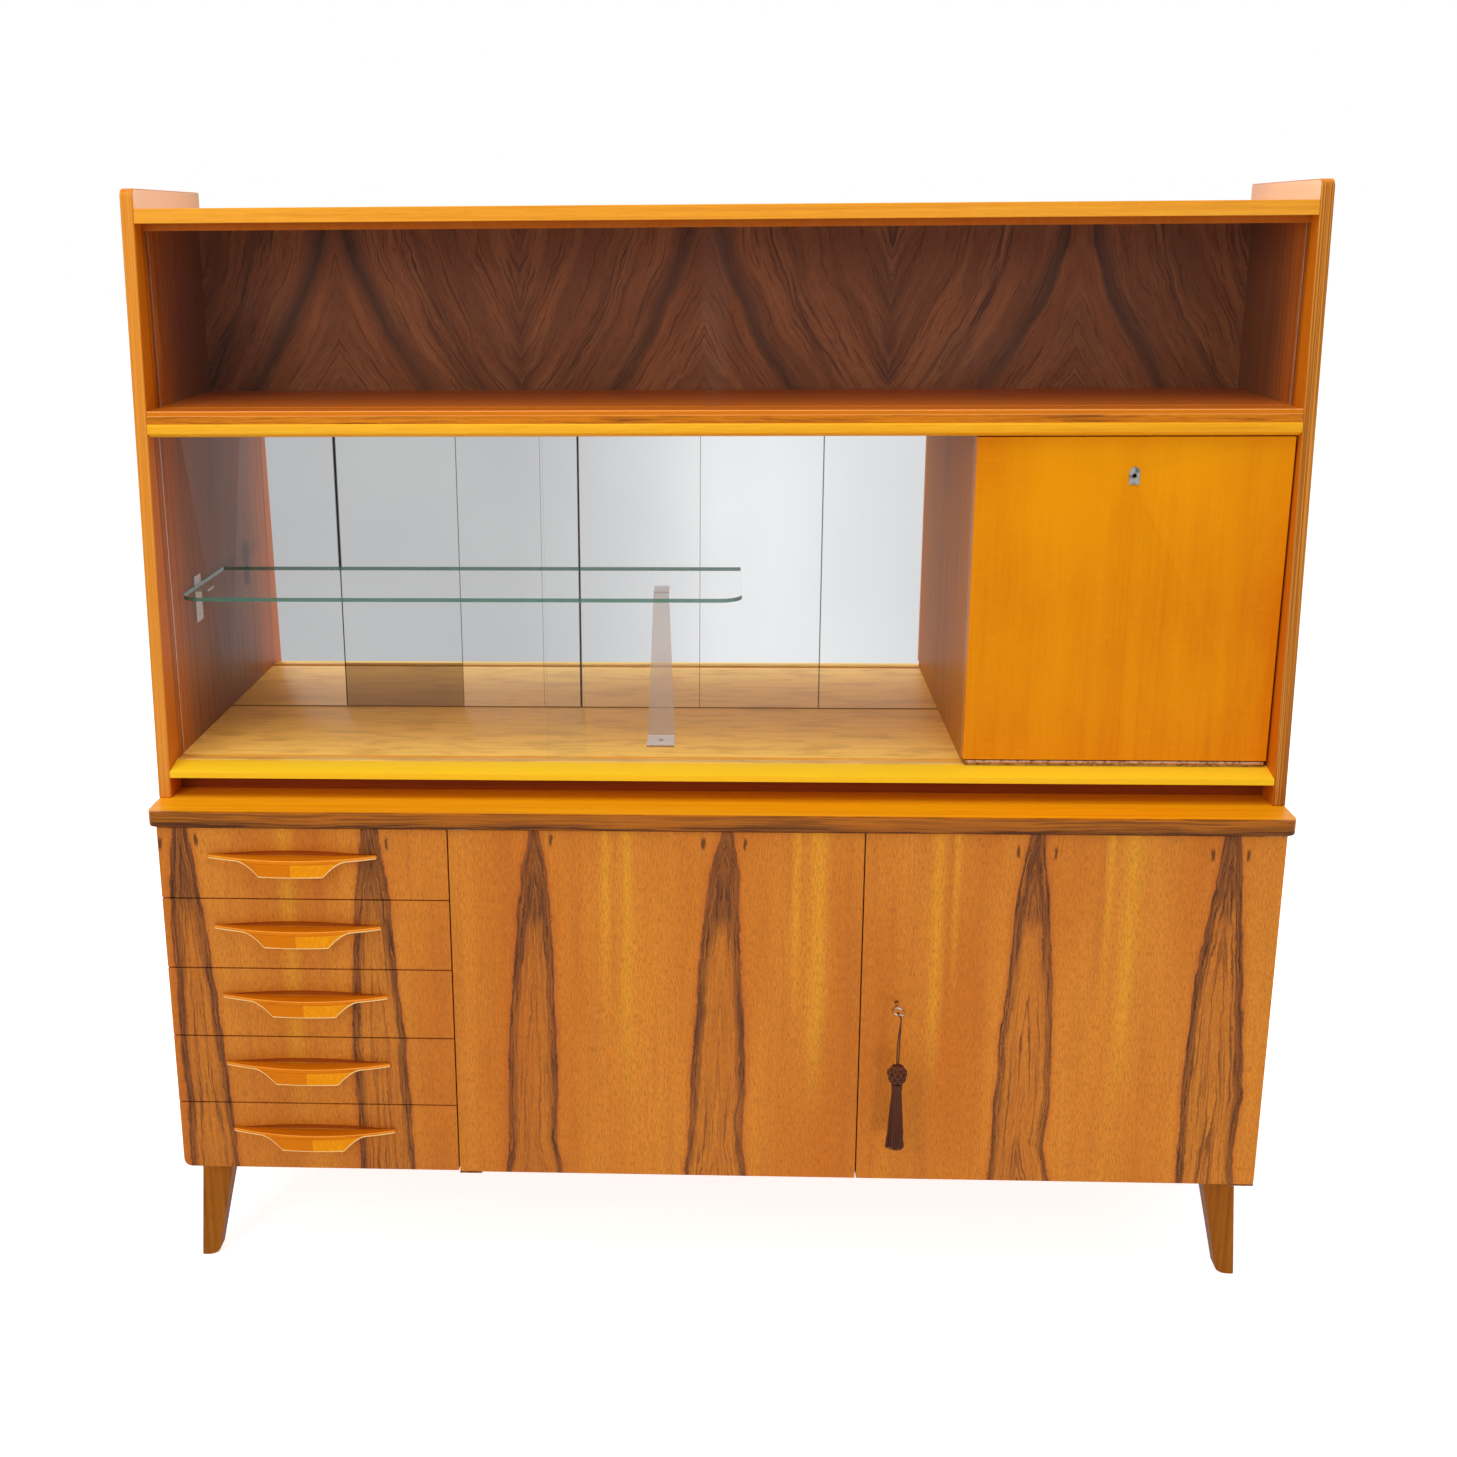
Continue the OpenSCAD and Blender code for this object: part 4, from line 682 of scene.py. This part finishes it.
def softened(node, width, look, shape=None):  # a node's own shape with its arrises rounded a little
    v, name, work = easeLook, node + "_eased", bmesh.new()
    work.from_mesh(nodes[node].data)
    for corner in work.verts if shape else []:
        corner.co = shape(corner.co)
    bmesh.ops.remove_doubles(work, verts=work.verts, dist=v["merge"])
    bmesh.ops.dissolve_limit(work, angle_limit=math.radians(v["flat"]), verts=work.verts, edges=work.edges)
    mesh = bpy.data.meshes.new(name)
    work.to_mesh(mesh)
    work.free()
    obj = put("work", mesh)
    ease = obj.modifiers.new("ease", "BEVEL")
    ease.width, ease.segments, ease.limit_method = width / 1000, v["segments"], "ANGLE"
    ease.angle_limit, ease.use_clamp_overlap, ease.harden_normals = math.radians(v["corner"]), True, False
    piece = newPiece(name, baked(obj, name), bodyOf[node], look, v["sharp"])
    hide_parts(node)
    return piece


hang = (271, -45.6, 477.5)  # where the cord's loop crosses the key's bow
cordLook = {"radius": 1.0, "sides": 12, "between": 3}  # millimetres, and parts between two points of the route
cordRoute = [
    (-1.3, 0, -78.5), (-1.3, 0, -74), (-1.4, -0.1, -68), (-1.4, -0.2, -62), (-1.3, -0.4, -56), (-1.2, -0.6, -50),
    (-1, -0.9, -44), (-0.6, -1.1, -38), (-0.1, -1.4, -32), (0.5, -1.7, -26), (1.1, -2, -20), (1.7, -2.3, -15),
    (2.2, -2.6, -10.5), (2.4, -3, -6.5), (2.2, -3.5, -3.6), (1.3, -4, -1.3), (0, -4.2, 0), (-1.4, -3.7, 1.4),
    (-2.4, -2.5, 2.4), (-2.9, -0.9, 2.9), (-2.9, 0.9, 2.9), (-2.4, 2.5, 2.4), (-1.4, 3.7, 1.4), (0, 4.2, 0),
    (1.3, 3.8, -1.3), (2.3, 3.1, -3.4), (2.8, 2.4, -6.2), (2.9, 2, -10), (2.8, 1.6, -14.5), (2.6, 1.3, -20),
    (2.4, 1, -26), (2.2, 0.8, -32), (2, 0.6, -38), (1.9, 0.5, -44), (1.8, 0.4, -50), (1.7, 0.2, -56),
    (1.5, 0.1, -62), (1.4, 0, -68), (1.3, 0, -74), (1.3, 0, -78.5)]


def tubeMesh(name, points, radius, sides, closed=False):  # a tube with u round it and v along it in millimetres
    count, verts, faces, uvs = len(points), [], [], []
    lengths = [0.0]
    for a, b in zip(points, points[1:]):
        lengths.append(lengths[-1] + (b - a).length * 1000)
    normal = None
    for k, point in enumerate(points):
        ahead = points[(k + 1) % count] if closed or k + 1 < count else points[k]
        behind = points[k - 1] if closed or k else points[k]
        tangent = (ahead - behind).normalized()
        if normal is None:
            normal = tangent.orthogonal().normalized()
        normal = (normal - tangent * normal.dot(tangent)).normalized()
        other = tangent.cross(normal)
        for s in range(sides):
            angle = 2 * math.pi * s / sides
            verts.append(point + (normal * math.cos(angle) + other * math.sin(angle)) * radius / 1000)
    for k in range(count if closed else count - 1):
        for s in range(sides):
            a, b = k * sides + s, k * sides + (s + 1) % sides
            c, d = ((k + 1) % count) * sides + (s + 1) % sides, ((k + 1) % count) * sides + s
            faces.append((a, b, c, d))
            end = lengths[k + 1] if k + 1 < count else lengths[k] + (points[0] - points[k]).length * 1000
            near, far = s / sides, (s + 1) / sides
            uvs += [(near, lengths[k]), (far, lengths[k]), (far, end), (near, end)]
    if not closed:
        faces.append(tuple(reversed(range(sides))))
        faces.append(tuple(range((count - 1) * sides, count * sides)))
        uvs += [(0, 0)] * (2 * sides)
    mesh = bpy.data.meshes.new(name)
    mesh.from_pydata(verts, [], faces)
    layer = mesh.uv_layers.new(name="UVMap")
    for loop, uv in zip(layer.data, uvs):
        loop.uv = uv
    return allSmooth(mesh)


def smoothLine(points, parts):  # a smooth curve through the points, with so many parts between two of them
    line = []
    for k in range(len(points) - 1):
        a, b, c, d = points[max(k - 1, 0)], points[k], points[k + 1], points[min(k + 2, len(points) - 1)]
        for n in range(parts):
            t = n / parts
            line.append(0.5 * ((2 * b) + (c - a) * t + (2 * a - 5 * b + 4 * c - d) * t * t
                               + (3 * b - a - 3 * c + d) * t * t * t))
    return line + [points[-1]]


def joinMeshes(name, meshes):
    work = bmesh.new()
    for mesh in meshes:
        work.from_mesh(mesh)
    mesh = bpy.data.meshes.new(name)
    work.to_mesh(mesh)
    work.free()
    return allSmooth(mesh)


route = [place(hang[0] + x, hang[1] + y, hang[2] + z) for x, y, z in cordRoute]
cordMesh = tubeMesh("cord", smoothLine(route, cordLook["between"]), cordLook["radius"], cordLook["sides"])
cord = newPiece("tassel_cord_twisted", cordMesh, "door_right", "yarn")
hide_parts("tassel_cord")

tasselLook = {"top": 399, "knotRadius": 12.7, "knotHalf": 14.2, "strand": 1.75, "leads": 5, "bights": 9, "rise": 66,
              "weave": 0.9, "blunt": 0.985, "steps": 12, "core": (11.5, 11.5, 13.4),
              "neckRadius": 7.2, "neckTurns": 6, "neckTop": 368.5, "neckStep": 1.5, "neckYarn": 0.9, "neckSteps": 24,
              "fringeTop": 365, "fringeBottom": 263.5, "fringeIn": 5.8, "fringeOut": 13.0, "fringeCount": 120,
              "bend": 6.0, "yarnRadius": 0.75, "seed": 7, "sides": 8}


def aroundHang(radius, turn, z):
    return place(hang[0] + radius * math.cos(turn), hang[1] + radius * math.sin(turn), z)


def knotMeshes(v):  # one strand woven over and under round a ball
    middle = v["top"] - v["knotHalf"] - v["strand"]
    count = v["steps"] * v["leads"] * v["bights"]
    line = []
    for k in range(count):
        s = k / count
        turn = 2 * math.pi * v["leads"] * s
        wave = 2 / math.pi * math.asin(v["blunt"] * math.sin(2 * math.pi * v["bights"] * s))
        lean = math.radians(v["rise"]) * wave
        lift = v["weave"] * math.sin(2 * math.pi * v["leads"] * v["bights"] * s)
        line.append(aroundHang((v["knotRadius"] + lift) * math.cos(lean), turn,
                               middle + (v["knotHalf"] + lift) * math.sin(lean)))
    strand = tubeMesh("knot", line, v["strand"], v["sides"], closed=True)
    core = bpy.data.meshes.new("core")
    work = bmesh.new()
    bmesh.ops.create_uvsphere(work, u_segments=24, v_segments=16, radius=1)
    bmesh.ops.scale(work, vec=Vector(v["core"]) / 1000, verts=work.verts)
    bmesh.ops.translate(work, vec=place(hang[0], hang[1], middle), verts=work.verts)
    work.to_mesh(core)
    work.free()
    return [strand, core]


def neckMesh(v):
    line = []
    for k in range(v["neckTurns"] * v["neckSteps"] + 1):
        turns = k / v["neckSteps"]
        line.append(aroundHang(v["neckRadius"], 2 * math.pi * turns, v["neckTop"] - v["neckStep"] * turns))
    return tubeMesh("neck", line, v["neckYarn"], v["sides"])


def newTree(name, kinds):  # a Geometry Nodes tree, as its named inputs
    tree = bpy.data.node_groups.new(name, "GeometryNodeTree")
    for label, kind in {"Geometry": "Geometry", **kinds}.items():
        tree.interface.new_socket(label, in_out="INPUT", socket_type="NodeSocket" + kind)
    tree.interface.new_socket("Geometry", in_out="OUTPUT", socket_type="NodeSocketGeometry")
    return {socket.name: Wire(tree, socket) for socket in tree.nodes.new("NodeGroupInput").outputs}


def closeTree(geometry, material):
    whole = geometry.make("GeometryNodeRealizeInstances", None, {"Geometry": geometry})
    painted = whole.make("GeometryNodeSetMaterial", None, {"Geometry": whole, "Material": material})
    geometry.tree.links.new(painted.socket, geometry.tree.nodes.new("NodeGroupOutput").inputs[0])
    return geometry.tree


def runTree(name, mesh, tree, values):  # the tree's result on a mesh, with its inputs set by their identifiers
    obj = put("work", mesh)
    grow = obj.modifiers.new("grow", "NODES")
    grow.node_group = tree
    for item in tree.interface.items_tree:
        if item.in_out == "INPUT" and item.name in values:
            grow[item.identifier] = values[item.name]
    return baked(obj, name)


def fringeTree():
    start = newTree("fringe", {"Count": "Int", "Top Radius": "Float", "Flare": "Float", "Length": "Float",
                               "Yarn Radius": "Float", "Bend": "Float", "Seed": "Int", "Material": "Material"})
    count = start["Count"]
    add = count.make
    strand = add("GeometryNodeCurvePrimitiveLine", None, {"Start": (0, 0, 0), "End": (0, 0, -1)})
    strand = add("GeometryNodeResampleCurve", None, {"Curve": strand, "Count": 9})
    points = add("GeometryNodePoints", None, {"Count": count})
    index = add("GeometryNodeInputIndex")
    root = count.sum("SQRT", index / count)
    turn = index * (math.pi * (3 - math.sqrt(5)))  # the golden angle spreads the strands evenly
    away = turn.joined(turn.sum("COSINE", turn), turn.sum("SINE", turn), 0.0)
    spot = away.scaled(root * start["Top Radius"])
    placed = add("GeometryNodeSetPosition", None, {"Geometry": points, "Position": spot})
    placed = add("GeometryNodeStoreNamedAttribute", {"data_type": "FLOAT_VECTOR", "domain": "POINT"},
                 {"Geometry": placed, "Name": "away", "Value": away})
    placed = add("GeometryNodeStoreNamedAttribute", {"data_type": "FLOAT", "domain": "POINT"},
                 {"Geometry": placed, "Name": "share", "Value": root})
    chance = add("FunctionNodeRandomValue", {"data_type": "FLOAT"},
                 {2: 0.965, 3: 1.0, "ID": index, "Seed": start["Seed"]}, 1)
    scale = chance.joined(1.0, 1.0, chance * start["Length"])
    many = add("GeometryNodeInstanceOnPoints", None, {"Points": placed, "Instance": strand, "Scale": scale})
    many = add("GeometryNodeRealizeInstances", None, {"Geometry": many})
    direction = add("GeometryNodeInputNamedAttribute", {"data_type": "FLOAT_VECTOR"}, {"Name": "away"}, "Attribute")
    portion = add("GeometryNodeInputNamedAttribute", {"data_type": "FLOAT"}, {"Name": "share"}, "Attribute")
    down = add("GeometryNodeSplineParameter", None, None, "Factor")
    shift = direction.scaled(down.power(0.8) * portion * start["Flare"])
    noise = add("ShaderNodeTexNoise", None,
                {"Vector": add("GeometryNodeInputPosition"), "Scale": 70.0, "Detail": 1.0}, "Color")
    wobble = add("ShaderNodeVectorMath", {"operation": "SUBTRACT"}, {0: noise, 1: (0.5, 0.5, 0.5)})
    shift = add("ShaderNodeVectorMath", {"operation": "ADD"}, {0: shift, 1: wobble.scaled(down * start["Bend"])})
    moved = add("GeometryNodeSetPosition", None, {"Geometry": many, "Offset": shift})
    profile = add("GeometryNodeCurvePrimitiveCircle", None, {"Resolution": 5, "Radius": start["Yarn Radius"]})
    solid = add("GeometryNodeCurveToMesh", None, {"Curve": moved, "Profile Curve": profile, "Fill Caps": True})
    return closeTree(solid, start["Material"])


def fringeMesh(v):
    seed = bpy.data.meshes.new("seed")
    values = {"Count": v["fringeCount"], "Top Radius": v["fringeIn"] / 1000,
              "Flare": (v["fringeOut"] - v["fringeIn"]) / 1000,
              "Length": (v["fringeTop"] - v["fringeBottom"]) / 1000, "Yarn Radius": v["yarnRadius"] / 1000,
              "Bend": v["bend"] / 1000, "Seed": v["seed"], "Material": looks["yarn"]}
    mesh = runTree("fringe", seed, fringeTree(), values)
    mesh.transform(Matrix.Translation(place(hang[0], hang[1], v["fringeTop"])))
    return mesh


knot = newPiece("tassel_knot", joinMeshes("tassel_knot", knotMeshes(tasselLook) + [neckMesh(tasselLook)]),
                "door_right", "yarn")
fringe = newPiece("tassel_fringe", fringeMesh(tasselLook), "door_right", "yarn")
for piece in (knot, fringe):
    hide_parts("tassel")
print("cord and tassel made")


# how far the arrises are rounded, in millimetres, and the wood
eased = {"ledge_top": (1.2, "ledge"), "drawer_front": (0.7, "veneer"), "door_middle": (0.7, "veneer"),
         "door_right": (0.7, "veneer"), "top_board": (0.9, "edging"), "mid_board": (0.6, "rail"),
         "mid_moulding": (0.6, "strip"), "upper_side_left": (2.2, "side"), "upper_side_right": (2.2, "side"),
         "partition": (0.6, "partition"), "base_board": (0.5, "base"), "bar_flap": (0.8, "flap"),
         "legs": (1.2, "leg"), "lower_sides": (0.8, "side"), "drawer_handle": (1.7, "handle")}
for key, (width, look) in eased.items():
    for node in sorted(nodes):
        if node == key or (key.startswith("drawer") and node.startswith(key + "_")):
            softened(node, width, look + node[-1] if look == "handle" else look)
print("wooden pieces eased")

strapTaper = {"middle": -0.083, "top": 1.040, "foot": 0.830, "least": 0.56, "ease": 0.8}


def tapered(corner):  # the clear strap is narrow under the glass and wide at its foot
    v = strapTaper
    down = min(max((v["top"] - corner.z) / (v["top"] - v["foot"]), 0.0), 1.0)
    share = v["least"] + (1 - v["least"]) * down
    return Vector((v["middle"] + (corner.x - v["middle"]) * share, corner.y, corner.z))


strap = softened("shelf_strap", strapTaper["ease"], "acrylic", tapered)
print("strap tapered")

dressed = {
    "side": ["lower_bottom", "glass_tracks"], "inside": ["lower_dividers", "lower_shelves"], "plinth": ["plinth"],
    "box": ["lower_back", "drawer_runners"] + ["drawer_box_%d" % i for i in range(1, 6)],
    "walnut": ["figured_back", "display_back"], "mirror": ["mirror_strips"], "shelfGlass": ["glass_shelf"],
    "acrylic": ["shelf_clips"],
    "brass": ["pivot_plates", "hinge_leaf_base", "hinge_leaf_flap", "pivots_middle", "pivots_right"],
    "steel": ["stay_tracks", "flap_lock", "stay_brackets", "stay_arm_left", "stay_arm_right", "door_lock",
              "lock_bolt"],
    "glass": ["upper_pane_left", "upper_pane_right", "lower_pane_left", "lower_pane_right"], "nickel": ["door_key"]}
for look, group in dressed.items():
    for node in group:
        nodes[node].data.materials.clear()
        nodes[node].data.materials.append(looks[look])
print("other nodes dressed")

panes = [nodes[node] for node in sorted(nodes) if "_pane_" in node]
for piece in [nodes["glass_shelf"], nodes["shelf_clips"], strap] + panes:
    piece.visible_glossy = False  # the mirror stays calm, as in the picture
strap.visible_shadow = False  # it is clear, and the mirror would show its shadow without it


# body, finish, radius and height of the head, then each place in millimetres and the way the head faces
fittings = {
    "strap_screw": ("cabinet", "steel", 4.2, 1.3, [((-83, 220.5, 816), (0, 0, 1))]),
    "clip_screws": ("cabinet", "steel", 2.4, 0.9, [((-806.5, 275.5, z), (1, 0, 0)) for z in (1002, 1055)]),
    "plate_screws": ("cabinet", "brass", 2.6, 0.9, [
        ((x, y, 185.4), (0, 0, -1)) for x in (-376, -362, 791, 805) for y in (29, 42)]),
    "track_screws": ("cabinet", "steel", 2.4, 0.5, [
        ((x, 143.9, z), (side, 0, 0)) for x, side in ((389, 1), (806.5, -1)) for z in (889.5, 1280.5)]),
    "bracket_screws": ("bar_flap", "steel", 2.2, 0.8, [
        ((x, 125, 1021.8), (0, 1, 0)) for x in (400, 408, 787.5, 795.5)]),
    "hinge_screws_base": ("cabinet", "brass", 2.1, 0.5, [
        ((384 + 50.5 * k, 116, 814), (0, 0, 1)) for k in range(9)]),
    "hinge_screws_flap": ("bar_flap", "brass", 2.1, 0.5, [
        ((401 + 50.5 * k, 116, 821), (0, 0, -1)) for k in range(8)]),
    "flap_lock_screws": ("bar_flap", "steel", 2.4, 0.9, [
        ((x, 135, z), (0, 1, 0)) for x in (567.5, 606.5) for z in (1223.5, 1252.5)]),
    "door_lock_screws": ("door_right", "steel", 2.4, 0.9, [
        ((x, 34, z), (0, 1, 0)) for x in (235.5, 284.5) for z in (458, 497)])}
for i in range(1, 6):
    p = handlePlace
    middle, level = p["middle"] + p["scatter"][i - 1], p["top"] - p["pitch"] * (i - 1) - p["screwDown"]
    spots = [((middle + away, p["screwY"], level), (0, 1, 0)) for away in (-p["screwX"], p["screwX"])]
    fittings["handle_screws_%d" % i] = ("drawer_%d" % i, "steel", 3.4, 1.4, spots)
screwSlot = {"steel": "lock_metal", "brass": "hinge_metal", "width": 0.28}  # slots by finish; width in radii
skipped = ("strap_screw", "clip_screws")  # the mirror skips them too


def screwTree():  # a domed, slotted head on each point, turned to the point's own aim
    start = newTree("slotted_screws", {"Radius": "Float", "Height": "Float", "Slot Width": "Float", "Seed": "Int",
                                       "Material": "Material"})
    radius, height = start["Radius"], start["Height"]
    add = radius.make
    dome = add("GeometryNodeMeshUVSphere", None, {"Segments": 20, "Rings": 10, "Radius": 1.0})
    dome = add("GeometryNodeTransform", None, {"Geometry": dome, "Scale": radius.joined(radius, radius, height)})
    cutter = add("GeometryNodeMeshCube", None, {"Size": radius.joined(radius * 3.0, start["Slot Width"], height)})
    lift = radius.joined(0.0, 0.0, height)
    cutter = add("GeometryNodeTransform", None, {"Geometry": cutter, "Translation": lift})
    head = add("GeometryNodeMeshBoolean", {"operation": "DIFFERENCE"}, {0: dome, 1: cutter})
    aim = add("GeometryNodeInputNamedAttribute", {"data_type": "FLOAT_VECTOR"}, {"Name": "aim"}, "Attribute")
    turn = add("FunctionNodeRandomValue", {"data_type": "FLOAT"},
               {2: 0.0, 3: math.pi, "ID": add("GeometryNodeInputIndex"), "Seed": start["Seed"]}, 1)
    spin = add("FunctionNodeAxisAngleToRotation", None, {"Axis": (0, 0, 1), "Angle": turn})
    facing = add("FunctionNodeAlignRotationToVector", {"axis": "Z"}, {"Rotation": spin, "Vector": aim})
    many = add("GeometryNodeInstanceOnPoints", None,
               {"Points": start["Geometry"], "Instance": head, "Rotation": facing})
    return closeTree(many, start["Material"])


screws = screwTree()
for name, (body, look, radius, height, spots) in fittings.items():
    points = bpy.data.meshes.new(name)
    points.from_pydata([place(*spot) for spot, aim in spots], [], [])
    aims = points.attributes.new("aim", "FLOAT_VECTOR", "POINT")
    for item, (spot, aim) in zip(aims.data, spots):
        item.vector = aim
    mesh = runTree(name, points, screws, {"Radius": radius / 1000, "Height": height / 1000, "Seed": len(name),
                                          "Slot Width": radius * screwSlot["width"] / 1000, "Material": looks[look]})
    heads = newPiece(name, mesh, body, look, 30)
    heads.visible_glossy = name not in skipped
print("screws set")
